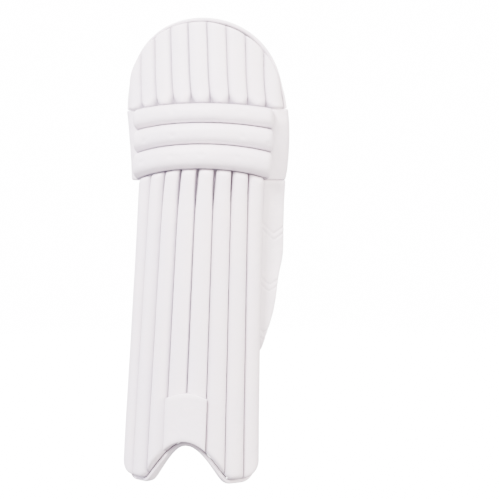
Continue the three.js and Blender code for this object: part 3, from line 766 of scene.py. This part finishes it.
class PAD_OT_knee_rolls(PadOperator, bpy.types.Operator):
    """Add the three thick knee rolls and the padded strips at their ends"""

    bl_idname = "pad.knee_rolls"
    bl_label = "Knee Rolls"

    # Tack stitches that dimple each roll: place along in millimetres, share of its height.
    TACKS = {1: [(-34, 0.63), (56, 0.62)], 2: [(-76, 0.35), (-33, 0.42), (56, 0.42), (91, 0.3)],
             3: [(-78, 0.5), (-34, 0.55), (6, 0.55), (50, 0.55)]}

    def build(self):
        form = self.form
        for number in (1, 2, 3):
            bm = moulded(80, 24, self.roll(number), form.lay)
            piece(
                f"knee_roll_cover_{number}", bm, white_leather(self.colours),
                [f"knee_roll_{number}"],
            )
        for side, name in ((-1, "left"), (1, "right")):
            bm = moulded(20, 48, self.strip(side), form.lay)
            piece(
                f"knee_side_cover_{name}", bm, white_leather(self.colours),
                [f"knee_side_{name}"],
            )
        half = form.s.knee_roll_length / 2 - 4 * MM
        runs = []
        for seam in range(4):
            points = [(mix(-half, half, k / 60), form.knee_seam(seam, mix(-half, half, k / 60))) for k in range(61)]
            runs.append(run_on(form, points, 10.5 * MM if seam else 12 * MM))
        stitched("knee_threads", runs, groove_thread(self.colours))

    def roll(self, number):
        form = self.form
        seam = len(KNEE_SEAMS) - 1 - number
        thick = form.s.knee_roll_thickness
        half = form.s.knee_roll_length / 2 - 0.15 * MM
        tacks = self.TACKS[number]

        def shape(u, v, front):
            along = mix(-half, half, mix(u, bunched(u), 0.5))
            share = bunched(v)
            low = form.knee_seam(seam, along) + 0.1 * MM
            high = form.knee_seam(seam + 1, along) - 0.1 * MM
            up = mix(low, high, share)
            if not front:
                return along, up, 0.5 * MM, 1.0
            ends = shoulders((along + half) / (2 * half), 0.07)
            section = arched(share, 2.7, 0.46) * ends
            body = mix(9 * MM, thick, section)
            swell = 0.9 * MM * rumple(along, number * 0.4, number + 20, 0.045)
            folds = 0.5 * MM * rumple(along, up * 0.6, number + 30, 0.014)
            tugs = 0.45 * MM * math.sin(along / (1.9 * MM) + 2 * rumple(along, 0, number, 0.02))
            tugs *= ridge(min(share, 1 - share), 0.1)
            pull = sum(1.5 * MM * ridge(math.hypot(along - a * MM, up - mix(low, high, h)), 3 * MM) for a, h in tacks)
            out = body + section * (swell + folds) + tugs * (1 - section) - pull
            # The fourth value is painted shade, darkest in the seams between the knee rolls.
            return along, up, out, clamp(1.2 - section * 1.2) ** 1.6

        return shape

    def strip(self, side):
        form = self.form
        roll_end = form.s.knee_roll_length / 2
        near = form.rolls_edge(form.side_top) + 0.6 * MM
        foot = form.s.shin_height - form.SEAM_ARCH - 0.5 * MM
        top = form.knee_seam(3, roll_end) + 1.0 * MM
        ply_top = form.lining_foot - 0.4 * MM

        def shape(u, v, front):
            share = mix(v, bunched(v), 0.4)
            up = mix(foot, top, share)
            far = form.knee_edge(side, up)
            step = roll_end + 0.4 * MM
            along = mix(near, step - 0.2 * MM, u / 0.2) if u < 0.2 else mix(step, far, bunched((u - 0.2) / 0.8) ** 0.9)
            inner = u < 0.2
            if not front:
                out = -form.BACKING if up < ply_top else 0.5 * MM
                return side * along, up, out, 0.3
            # Painted shade: the inner step behind the roll ends is painted fully in seam shade, and the strip darkens
            # towards its rims.
            if inner:
                return side * along, up, -0.2 * MM, 1.0
            place = (along - step) / (far - step)
            section = shoulders(place, 0.3) * mix(0.7, 1, shoulders(share, 0.05))
            folds = 1.1 * MM * rumple(along * 0.4, up, side + 40, 0.016) * (1 - 0.5 * place)
            swell = 0.8 * MM * rumple(along, up, side + 44, 0.04)
            out = mix(2.5 * MM, 8.5 * MM, section) + section * (folds + swell)
            return side * along, up, out, clamp(1 - section * 1.3) ** 2

        return shape


class PAD_OT_knee_flap(PadOperator, bpy.types.Operator):
    """Add the channelled knee flap, its binding and its printed lining"""

    bl_idname = "pad.knee_flap"
    bl_label = "Knee Flap"

    INSET = 6.3 * MM
    GROOVE_LEAN = 7 * MM

    def build(self):
        form, colours = self.form, self.colours
        bm = moulded(CHANNELS * 10, 50, self.channels(), form.lay)
        piece("knee_flap_cover", bm, white_leather(colours), ["knee_flap"])
        bm = moulded(50, 44, self.lining(), form.lay)
        printed = kept("printed_lining", print_finish, colours.lining_dark, colours.lining, colours.lining_light)
        piece("flap_lining_cover", bm, printed, ["flap_lining"])
        self.binding()
        runs = []
        for groove in range(1, CHANNELS):
            points = [self.column(groove / CHANNELS, 0.06 + 0.9 * k / 40) for k in range(41)]
            runs.append(run_on(form, points, 5.6 * MM))
        stitched("knee_flap_threads", runs, groove_thread(colours))

    def column(self, base, v):
        """A point (along, up) of the flap on a column, by its share across and up."""
        form = self.form
        half = form.s.flap_width / 2 - self.INSET
        x = mix(-half, half, base)
        out = x / half
        lean = self.GROOVE_LEAN * (v - 0.35) * (1 - out * out)
        foot = form.knee_seam(3, form.flap_column(x, 0.0)) + 0.2 * MM
        up = mix(foot, form.flap_top(x, self.INSET), v)
        along = form.flap_column(x, up) - lean
        top = form.flap_top(along, self.INSET)
        return along, mix(up, min(up, top), smooth(v))

    def channels(self):
        def shape(u, v, front):
            place = u * CHANNELS
            channel = min(CHANNELS - 1, int(place + 1e-6))
            within = bunched(place - channel)
            along, up = self.column((channel + within) / CHANNELS, mix(v, bunched(v), 0.4))
            if not front:
                return along, up, 0.5 * MM, 1.0
            low = 1 - smooth(v / 0.2)
            section = arched(within, mix(2.4, 1.5, low), mix(0.55, 0.9, low))
            groove = mix(4.6, 0.9, low) * MM
            crown = mix(12 * MM, 14 * MM, low * (1 - low) * 2)
            edge = mix(0.62, 1, shoulders(v, 0.07)) * mix(0.8, 1, shoulders(u, 0.02))
            swell = 0.9 * MM * rumple(along, up, channel + 50, 0.035)
            folds = (0.3 + 2.6 * low) * MM * rumple(along, up * 0.3, channel + 60, 0.008)
            tugs = 0.3 * MM * math.sin(up / (1.15 * MM)) * (1 - section)
            out = edge * mix(groove, crown, section) + section * (swell + folds * 0.6) + tugs
            # The fourth value is painted shade in the grooves, deeper in the notches at the foot.
            return along, up, out, clamp(1.2 + 0.4 * low - section * 1.25) ** 1.4

        return shape

    def lining(self):
        form = self.form
        half = form.s.flap_width / 2 - self.INSET

        def shape(u, v, front):
            x = mix(-half, half, mix(u, bunched(u), 0.5))
            up = mix(form.lining_foot, form.flap_top(x, self.INSET), mix(v, bunched(v), 0.5))
            along = form.flap_column(x, up)
            if front:
                return along, up, 0.0, 1.0
            rim = min(shoulders(v, 0.1), shoulders(u, 0.06))
            swell = 1.0 * MM * rumple(along, up, 70, 0.05) + 0.6 * MM * rumple(along, up * 0.6, 71, 0.018)
            # The fourth value is painted shade towards the lining's rims.
            return along, up, -mix(6.5 * MM, 10.5 * MM, rim) - rim * swell, clamp(1 - rim * 1.2)

        return shape

    def binding(self):
        form, colours = self.form, self.colours
        half = form.s.flap_width / 2 - form.FLAP_BINDING
        rise = form.height - form.FLAP_BINDING - form.side_arc
        foot = form.knee_seam(3, half) + 0.4 * MM
        side = [(half, mix(foot, form.side_arc, k / 4)) for k in range(4)]
        arc = [(half * math.cos(a), form.side_arc + rise * math.sin(a))
               for a in (math.pi * k / 90 for k in range(91))]
        outline = side + arc + [(-x, up) for x, up in reversed(side)]
        line = [Vector((form.flap_column(x, up), up)) for x, up in outline]
        taped(
            "flap_binding_tape", form, line, form.FLAP_BINDING, lambda up: (-12.5 * MM, 7.5 * MM),
            white_leather(colours), ["flap_binding"],
        )


def taped(name, form, line, width, depths, material, replaced):
    """A folded tape sewn over an edge. line runs along the seam with the edge on its right."""
    sides = []
    for i, _ in enumerate(line):
        before, after = line[max(0, i - 1)], line[min(len(line) - 1, i + 1)]
        sides.append(Vector((after.y - before.y, before.x - after.x)).normalized())
    lengths = [0.0]
    for a, b in zip(line, line[1:]):
        lengths.append(lengths[-1] + (b - a).length)

    def section(i, angle):
        rear, front = depths(line[i].y)
        reach, lift = math.cos(angle), math.sin(angle)
        square = 0.7
        reach = math.copysign(abs(reach) ** square, reach)
        lift = math.copysign(abs(lift) ** square, lift)
        pucker = 0.18 * MM * math.sin(lengths[i] / (1.3 * MM)) * (1 - abs(reach))
        at = line[i] + sides[i] * (width / 2 * (1 + reach) - 0.15 * MM)
        out = mix(rear, front, 0.5 + 0.5 * lift) + pucker
        return form.lay(at.x, at.y, out), (lengths[i], angle * 0.004)

    return piece(name, tube(len(line), 16, section), material, replaced)


class PAD_OT_wing(PadOperator, bpy.types.Operator):
    """Add the quilted wing on the outer side of the shin"""

    bl_idname = "pad.wing"
    bl_label = "Wing"

    # Points of the double chevrons: height above the floor, from the top.
    CHEVRONS = [(371, 361.5), (294, 284.5), (223, 213)]

    def build(self):
        form = self.form
        bm = moulded(34, 150, self.quilting(), form.lay)
        piece("wing_cover", bm, white_leather(self.colours), ["wing"])

    def quilting(self):
        form = self.form

        def shape(u, v, front):
            share = mix(v, bunched(v), 0.3)
            up = mix(form.wing_foot + 0.4 * MM, form.side_top - 0.4 * MM, share)
            edge, flare = form.wing_edge(up)
            near = form.rolls_edge(up) + 0.1 * MM
            across = mix(u, bunched(u), 0.4)
            along = mix(near, edge, across)
            rim = shoulders(across, 0.22) * shoulders(share, 0.03)
            base = flare * across**2
            if not front:
                return along, up, base - mix(3.2 * MM, form.BACKING, shoulders(across, 0.3)), 0.2
            apex = near + 0.62 * (edge - near)
            border = ridge(along - near - 4.5 * MM, 0.9 * MM)
            lines = 0.0
            panels = 0.0
            for first, second in self.CHEVRONS:
                for height in (first, second):
                    slope = 0.9 if along < apex else 0.8
                    lines = max(lines, ridge(up - height * MM - slope * abs(along - apex), 1.1 * MM))
                middle = (first + second) / 2 * MM + 0.9 * abs(along - apex)
                panels = max(panels, ridge(up - middle, 5 * MM))
            border *= 1 - panels
            swell = 0.7 * MM * rumple(along, up, 80, 0.03)
            folds = 0.35 * MM * rumple(along, up, 81, 0.012)
            quilt = max(lines, 0.7 * border)
            out = base + mix(0.5 * MM, 4.6 * MM, rim) + rim * (swell + folds) - 1.8 * MM * quilt * rim
            # The fourth value is painted shade in the chevron lines, along the border line and towards the rims.
            return along, up, out, clamp(max(0.62 * quilt, 1 - 1.3 * rim))

        return shape


class PAD_OT_foot(PadOperator, bpy.types.Operator):
    """Add the instep plate, the instep lining, the backing and the binding round the foot"""

    bl_idname = "pad.foot"
    bl_label = "Foot"

    PLATE = 72 * MM

    def build(self):
        form, colours = self.form, self.colours
        leather = white_leather(colours)
        piece("instep_plate_cover", moulded(28, 36, self.plate(), form.lay), leather,
              ["instep_plate"])
        knit = kept("open_mesh", mesh_finish, colours.mesh)
        piece("instep_lining_cover", moulded(90, 40, self.lining(), form.lay), knit,
              ["instep_lining"])
        woven = kept("white_cloth", cloth_finish, tuple(0.94 * c for c in colours.leather))
        piece("backing_cover", moulded(40, 40, self.backing(), form.lay), woven,
              ["backing"])
        taped("edge_binding_tape", form, self.binding_line(), form.BINDING, self.binding_depths,
              leather, ["edge_binding"])
        self.threads()

    def plate(self):
        form = self.form
        half = form.pitch(0) * 0.97
        face = form.s.roll_thickness + 0.4 * MM

        def foot(along):
            return form.foot(along) + 1.5 * MM

        def shape(u, v, front):
            along = mix(-half, half, mix(u, bunched(u), 0.6))
            top = foot(0) + self.PLATE - 9 * MM * (along / half) ** 2
            share = mix(v, bunched(v), 0.6)
            up = mix(foot(along), top, share)
            if not front:
                return along, up, face - 4 * MM, 0.6
            inset = min((1 - abs(along) / half) * half, (top - up), (up - foot(along)))
            rim = math.sqrt(clamp(1 - (1 - clamp(inset / (4 * MM))) ** 2))
            stitch = ridge(inset - 3.6 * MM, 0.8 * MM)
            swell = 0.5 * MM * rumple(along, up, 90, 0.03)
            out = face + mix(-1.0 * MM, 4 * MM, rim) + swell * rim - 0.7 * MM * stitch
            # The fourth value is painted shade at the rims and in the stitch line.
            return along, up, out, clamp(max(1 - 1.2 * rim, 0.35 * stitch))

        return shape

    def lining(self):
        form = self.form
        top = form.BOLSTER_FOOT - 0.3 * MM

        def shape(u, v, front):
            share = mix(v, bunched(v), 0.3)
            up = share * top
            for _ in range(4):
                half = form.rolls_edge(up) - 0.2 * MM
                along = mix(-half, half, u)
                up = mix(form.foot(along) + 0.5 * MM, top, share)
            face = -form.BACKING - 0.4 * MM
            if front:
                return along, up, face, 1.0
            place = 2 * u - 1
            k = next(i for i, seam in enumerate(LINING_SEAMS) if i and seam >= place - 1e-9)
            low, high = LINING_SEAMS[k - 1], LINING_SEAMS[k]
            raised = clamp((up - form.foot(along)) / (20 * MM)) ** 0.8
            section = arched((place - low) / (high - low), 2.6, 0.5) * min(raised, shoulders(share, 0.08))
            swell = 0.4 * MM * rumple(along, up, 95, 0.02)
            out = face - mix(4.6 * MM, 10.6 * MM, section) - section * swell
            # The fourth value is painted shade in the seams between the channels.
            return along, up, out, clamp(1 - section * 1.3)

        return shape

    def backing(self):
        form = self.form
        top = form.lining_foot - 0.4 * MM

        def shape(u, v, front):
            up = v * top
            for _ in range(4):
                half = form.rolls_edge(min(up, form.side_top)) - 0.3 * MM
                along = mix(-half, half, mix(u, bunched(u), 0.4))
                up = mix(form.foot(along) + 0.6 * MM, top, v)
            swell = 0.4 * MM * rumple(along, up, 97, 0.02)
            return along, up, 0.0 if front else -form.BACKING + swell, 0.0

        return shape

    def binding_line(self):
        form = self.form
        down = [Vector((-form.rolls_edge(up), up)) for up in
                (mix(form.side_top - 0.4 * MM, form.BINDING + form.CORNER_HEIGHT, k / 60) for k in range(60))]
        half = form.rolls_edge(form.BINDING + form.CORNER_HEIGHT)
        round_foot = []
        for k in range(141):
            along = half * (1 - 2 * k / 140)
            along = -half * math.copysign(abs(math.sin(math.pi / 2 * along / half)) ** 1.0, along)
            round_foot.append(Vector((along, form.foot(along))))
        rise = [Vector((form.rolls_edge(up), up)) for up in
                (mix(form.BINDING + form.CORNER_HEIGHT, form.wing_foot, k / 26) for k in range(1, 27))]
        return down + round_foot + rise

    def binding_depths(self, up):
        form = self.form
        low = smooth((form.BOLSTER_FOOT + 2 * MM - up) / (4 * MM))
        return -form.BACKING - form.LIP - low * form.INSTEP_EDGE, 5 * MM

    def threads(self):
        form = self.form
        line = self.binding_line()
        inner = []
        for i, p in enumerate(line):
            before, after = line[max(0, i - 1)], line[min(len(line) - 1, i + 1)]
            side = Vector((after.y - before.y, before.x - after.x)).normalized()
            inner.append(p + side * 2.2 * MM)
        front = [(form.lay(p.x, p.y, 5.1 * MM), form.facing(p.x, p.y)) for p in inner]
        rear = [(form.lay(p.x, p.y, self.binding_depths(p.y)[0] - 0.1 * MM), -form.facing(p.x, p.y))
                for p in inner]
        stitched("edge_binding_threads", [front, rear], white_thread(self.colours))


class PAD_OT_bolsters(PadOperator, bpy.types.Operator):
    """Add the three bolsters that lie against the leg"""

    bl_idname = "pad.bolsters"
    bl_label = "Bolsters"

    SHIN_WIDTH = 66 * MM
    SIDE_WIDTH = 61 * MM

    def build(self):
        colours = self.colours
        near = self.SHIN_WIDTH / 2
        far = near + 0.3 * MM + self.SIDE_WIDTH
        cloth = kept("teal_cloth", cloth_finish, colours.lining)
        self.bolster("shin_bolster", -near, near, 20 * MM, cloth, "teal_fabric", 100)
        leather = white_leather(colours)
        self.bolster("side_bolster_left", -far, -near - 0.3 * MM, 24 * MM, leather, "white_leather", 101)
        self.bolster("side_bolster_right", near + 0.3 * MM, far, 24 * MM, leather, "white_leather", 102)

    def bolster(self, node, left, right, thick, material, slot, seed):
        form = self.form
        face = -form.BACKING - 0.4 * MM

        def shape(u, v, front):
            share = mix(v, bunched(v), 0.5)
            along = mix(left, right, bunched(u))
            up = mix(form.BOLSTER_FOOT, form.bolster_top, share)
            if front:
                return along, up, face, 1.0
            ends = shoulders(share, 0.045)
            section = arched(bunched(u), 2.3, 0.5) * ends
            swell = 1.0 * MM * rumple(along * 0.5, up, seed, 0.06)
            folds = 0.8 * MM * rumple(along, up * 2.2, seed + 9, 0.03) * (1 - 0.6 * ends)
            creases = 0.35 * MM * rumple(along * 0.6, up, seed + 5, 0.012)
            out = face - mix(0.35, 1, section) * thick - section * (swell + folds + creases)
            # The fourth value is painted shade towards the bolster's sides and ends.
            return along, up, out, clamp(1 - section * 1.4)

        piece(f"{node}_cover", moulded(24, 60, shape, form.lay), material, [node])


class PAD_OT_straps(PadOperator, bpy.types.Operator):
    """Add the knee wrap, the two straps and the tabs sewn on them"""

    bl_idname = "pad.straps"
    bl_label = "Straps"

    CALF_FOOT = 336.24 * MM
    ANKLE_FOOT = 132 * MM
    WRAP_FOOT = 472 * MM

    def build(self):
        form, colours = self.form, self.colours
        leather = white_leather(colours)
        tape = kept("coated_tape", tape_finish, colours.tape)
        self.strap("knee_wrap", self.WRAP_FOOT, 65 * MM, 9 * MM, leather, 110)
        self.strap("calf_strap", self.CALF_FOOT, 54 * MM, 6 * MM, leather, 111)
        self.strap("ankle_strap", self.ANKLE_FOOT, 58 * MM, 6 * MM, leather, 112)
        self.wrap_roll(leather)
        self.stripe("knee_stripe", self.WRAP_FOOT, 9 * MM, -19, 60, 9.5, 7, tape)
        self.stripe("calf_stripe", self.CALF_FOOT, 6 * MM, -27, -9.5, 8, 12, tape)
        self.stripe("ankle_stripe", self.ANKLE_FOOT, 6 * MM, -64, 44, 3, 12.5, tape)
        self.stripe("hook_band", self.ANKLE_FOOT, 6 * MM, 82, 88, 5, 10, tape)
        striped = kept("striped_tab", stripe_finish, colours.tape, colours.leather, colours.leather_shade)
        self.tab("knee_tab", self.WRAP_FOOT, 9 * MM, (31, 17, 6, 19, 8), tape, "teal_tape")
        self.tab("calf_tab", self.CALF_FOOT, 6 * MM, (5, 114, 7, 43, 9), striped, "white_leather")
        self.tab("ankle_tab", self.ANKLE_FOOT, 6 * MM, (12, 36, 5, 46, 17), tape, "teal_tape")
        hooks = kept("hook_pile", hook_finish, colours.hook)
        self.tab("hook_patch", self.ANKLE_FOOT, 6 * MM, (2, 9.7, 8, 40, 0), hooks, "grey_hook", 1.5)

    def strap(self, node, foot, height, thick, material, seed):
        form = self.form

        def shape(u, v, front):
            up = foot + bunched(v) * height
            left, right = form.strap_ends(up)
            across = mix(left, right, u)
            if not front:
                return across, up, 0.0, 0.5
            rim = shoulders(bunched(v), 0.14) * mix(0.6, 1, shoulders(u, 0.02))
            line = ridge(min(bunched(v), 1 - bunched(v)) * height - 4 * MM, 0.7 * MM)
            seam = ridge(across - 46 * MM, 0.9 * MM) if node != "calf_strap" else 0.0
            swell = 0.7 * MM * rumple(across, up, seed, 0.04)
            folds = 0.5 * MM * rumple(across, up * 0.7, seed + 7, 0.012)
            sewn = max(line, seam)
            out = mix(0.45, 1, rim) * thick + rim * (swell + folds) - 0.7 * MM * sewn * rim
            # The fourth value is painted shade in the stitch lines and towards the rims.
            return across, up, out, clamp(max(0.4 * sewn, 1 - 1.3 * rim))

        bm = moulded(76, 24, shape, form.on_strap)
        piece(f"{node}_cover", bm, material, [node])
        runs = []
        for up in (foot + 4 * MM, foot + height - 4 * MM):
            left, right = form.strap_ends(up)
            points = [mix(left, right, 0.02 + 0.96 * k / 60) for k in range(61)]
            runs.append([(form.on_strap(x, up, thick), Vector((0, 1, 0))) for x in points])
        stitched(f"{node}_threads", runs, white_thread(self.colours))

    def wrap_roll(self, leather):
        form = self.form
        top = self.WRAP_FOOT - 0.3 * MM
        foot = form.side_top + 0.1 * MM

        def shape(u, v, front):
            up = mix(foot, top, bunched(v))
            left, right = form.strap_ends(up)
            across = mix(left, right, u)
            if not front:
                return across, up, 0.0, 1.0
            section = arched(bunched(v), 2.0, 0.5) * mix(0.6, 1, shoulders(u, 0.04))
            swell = 1.4 * MM * rumple(across, 0, 120, 0.028)
            folds = 1.0 * MM * rumple(across, up * 0.5, 121, 0.011)
            out = 17 * MM * mix(0.35, 1, section) + section * (swell + folds)
            # The fourth value is painted shade towards the roll's edges.
            return across, up, out, clamp(1 - 1.3 * section)

        piece("knee_wrap_roll_cover", moulded(90, 16, shape, form.on_strap), leather,
              ["knee_wrap_roll"])

    def stripe(self, name, foot, thick, start, end, rise, height, tape):
        """A flat tape sewn along a strap, its place in millimetres."""
        form = self.form

        def shape(u, v, front):
            across = mix(start, end, u) * MM
            up = foot + (rise + v * height) * MM
            out = thick + (0.9 * MM * min(shoulders(v, 0.1), shoulders(u, 0.02)) if front else -0.8 * MM)
            return across, up, out, 0.0

        piece(name, moulded(40, 8, shape, form.on_strap), tape)

    def tab(self, node, foot, thick, size, material, slot, plump=2.5):
        margin, long, rise, high, point = (value * MM for value in size)
        form = self.form
        inner = thick + 0.4 * MM
        middle = foot + rise + high / 2
        start = form.strap_ends(middle)[1] - margin - long

        def shape(u, v, front):
            up = foot + rise + bunched(v) * high
            tip = start + long - point * abs(2 * (up - middle) / high) ** 1.6
            across = mix(start, tip, mix(u, bunched(u), 0.5))
            flat = (across - start, up - foot - rise)
            if not front:
                return across, up, inner - 0.5 * MM, 0.0
            inset = min(flat[0], tip - across, flat[1], high - flat[1])
            rim = clamp(inset / (1.5 * MM)) ** 0.5
            sewn = ridge(inset - 3 * MM, 0.7 * MM)
            # The fourth value is painted shade along the stitch line.
            return across, up, inner + mix(0.4, 1, rim) * plump * MM - 0.5 * MM * sewn, 0.5 * sewn

        bm = moulded(30, 18, shape, form.on_strap)
        flat = bm.loops.layers.uv["UVMap"]
        for face in bm.faces:
            for loop in face.loops:
                loop[flat].uv = (loop[flat].uv.x - start, loop[flat].uv.y - foot - rise)
        made = piece(f"{node}_cover", bm, material, [node])


class PAD_OT_stage(PadOperator, bpy.types.Operator):
    """Add the pale floor, the soft lights and the camera"""

    bl_idname = "pad.stage"
    bl_label = "Stage"

    AZIMUTH = 9.0
    ELEVATION = 1.5
    DISTANCE = 2.15
    LENS = 104.0
    AIM = (0.0672, 0.0, 0.3475)
    FLOOR = 3.2
    RIM = 1.6

    def build(self):
        scene = bpy.context.scene
        self.backdrop()
        aim = Vector(self.AIM)
        azimuth, elevation = math.radians(self.AZIMUTH), math.radians(self.ELEVATION)
        away = Vector((
            math.sin(azimuth) * math.cos(elevation),
            -math.cos(azimuth) * math.cos(elevation),
            math.sin(elevation),
        ))
        data = bpy.data.cameras.new("camera")
        data.lens = self.LENS
        data.sensor_width = 36
        camera = bpy.data.objects.new("camera", data)
        camera.location = aim + away * self.DISTANCE
        camera.rotation_euler = (-away).to_track_quat("-Z", "Y").to_euler()
        scene.collection.objects.link(camera)
        scene.camera = camera
        self.light("key", (-0.6, -1.9, 1.95), 0.7, 275, (1.0, 0.94, 0.98))
        self.light("warm_side", (2.0, -0.85, 0.9), 0.7, 120, (1.0, 0.91, 0.85))
        self.light("cool_side", (-2.0, -0.6, 0.6), 0.8, 48, (0.84, 0.82, 1.0))
        self.light("back", (-0.9, 1.7, 1.6), 0.9, 200, (1.0, 0.97, 1.0))
        world = bpy.data.worlds.new("soft_studio")
        world.use_nodes = True
        ground = world.node_tree.nodes["Background"]
        ground.inputs["Color"].default_value = (1.0, 0.93, 1.0, 1.0)
        ground.inputs["Strength"].default_value = 1.1
        scene.world = world

    def light(self, name, place, size, power, tone):
        data = bpy.data.lights.new(name, "AREA")
        data.shape = "SQUARE"
        data.size = size
        data.energy = power
        data.color = tone
        made = bpy.data.objects.new(name, data)
        made.location = place
        made.rotation_euler = (Vector((0, 0, 0.35)) - Vector(place)).to_track_quat("-Z", "Y").to_euler()
        bpy.context.scene.collection.objects.link(made)

    def backdrop(self):
        bm = bmesh.new()
        bend = [(self.FLOOR + self.RIM * math.sin(a), self.RIM * (1 - math.cos(a)))
                for a in (math.pi / 2 * k / 12 for k in range(13))]
        profile = [(0.0, 0.0), *bend, (self.FLOOR + self.RIM, 2 * self.RIM)]
        points = [bm.verts.new((x, 0, z)) for x, z in profile]
        edges = [bm.edges.new(pair) for pair in zip(points, points[1:])]
        bmesh.ops.spin(bm, geom=points + edges, axis=(0, 0, 1), cent=(0, 0, 0), angle=2 * math.pi, steps=72,
                       use_merge=True, use_duplicate=False)
        bmesh.ops.remove_doubles(bm, verts=bm.verts[:], dist=1e-5)
        for face in bm.faces:
            face.smooth = True
        data = bpy.data.meshes.new("floor")
        bm.to_mesh(data)
        bm.free()
        data.materials.append(floor_finish())
        floor = bpy.data.objects.new("floor", data)
        bpy.context.scene.collection.objects.link(floor)
        floor.visible_diffuse = floor.visible_glossy = False


OPERATORS = [
    PAD_OT_stage, PAD_OT_shin_rolls, PAD_OT_knee_rolls, PAD_OT_knee_flap, PAD_OT_wing, PAD_OT_foot,
    PAD_OT_bolsters, PAD_OT_straps,
]


class PAD_PT_panel(bpy.types.Panel):
    """Sizes, colours and steps of the batting pad"""

    bl_label = "Batting Pad"
    bl_idname = "PAD_PT_panel"
    bl_space_type = "VIEW_3D"
    bl_region_type = "UI"
    bl_category = "Batting Pad"

    def draw(self, context):
        for group in (context.scene.pad_sizes, context.scene.pad_colours):
            box = self.layout.box()
            for name in group.bl_rna.properties.keys():
                if name not in {"rna_type", "name"}:
                    box.prop(group, name)
        for operator in OPERATORS:
            self.layout.operator(operator.bl_idname)


CLASSES = [PadSizes, PadColours, *OPERATORS, PAD_PT_panel]


def register():
    for made in CLASSES:
        bpy.utils.register_class(made)
    bpy.types.Scene.pad_sizes = PointerProperty(type=PadSizes)
    bpy.types.Scene.pad_colours = PointerProperty(type=PadColours)


def unregister():
    del bpy.types.Scene.pad_sizes, bpy.types.Scene.pad_colours
    for made in reversed(CLASSES):
        bpy.utils.unregister_class(made)


def main():
    register()
    for operator in OPERATORS:
        group, name = operator.bl_idname.split(".")
        getattr(getattr(bpy.ops, group), name)()


if __name__ == "__main__":
    main()
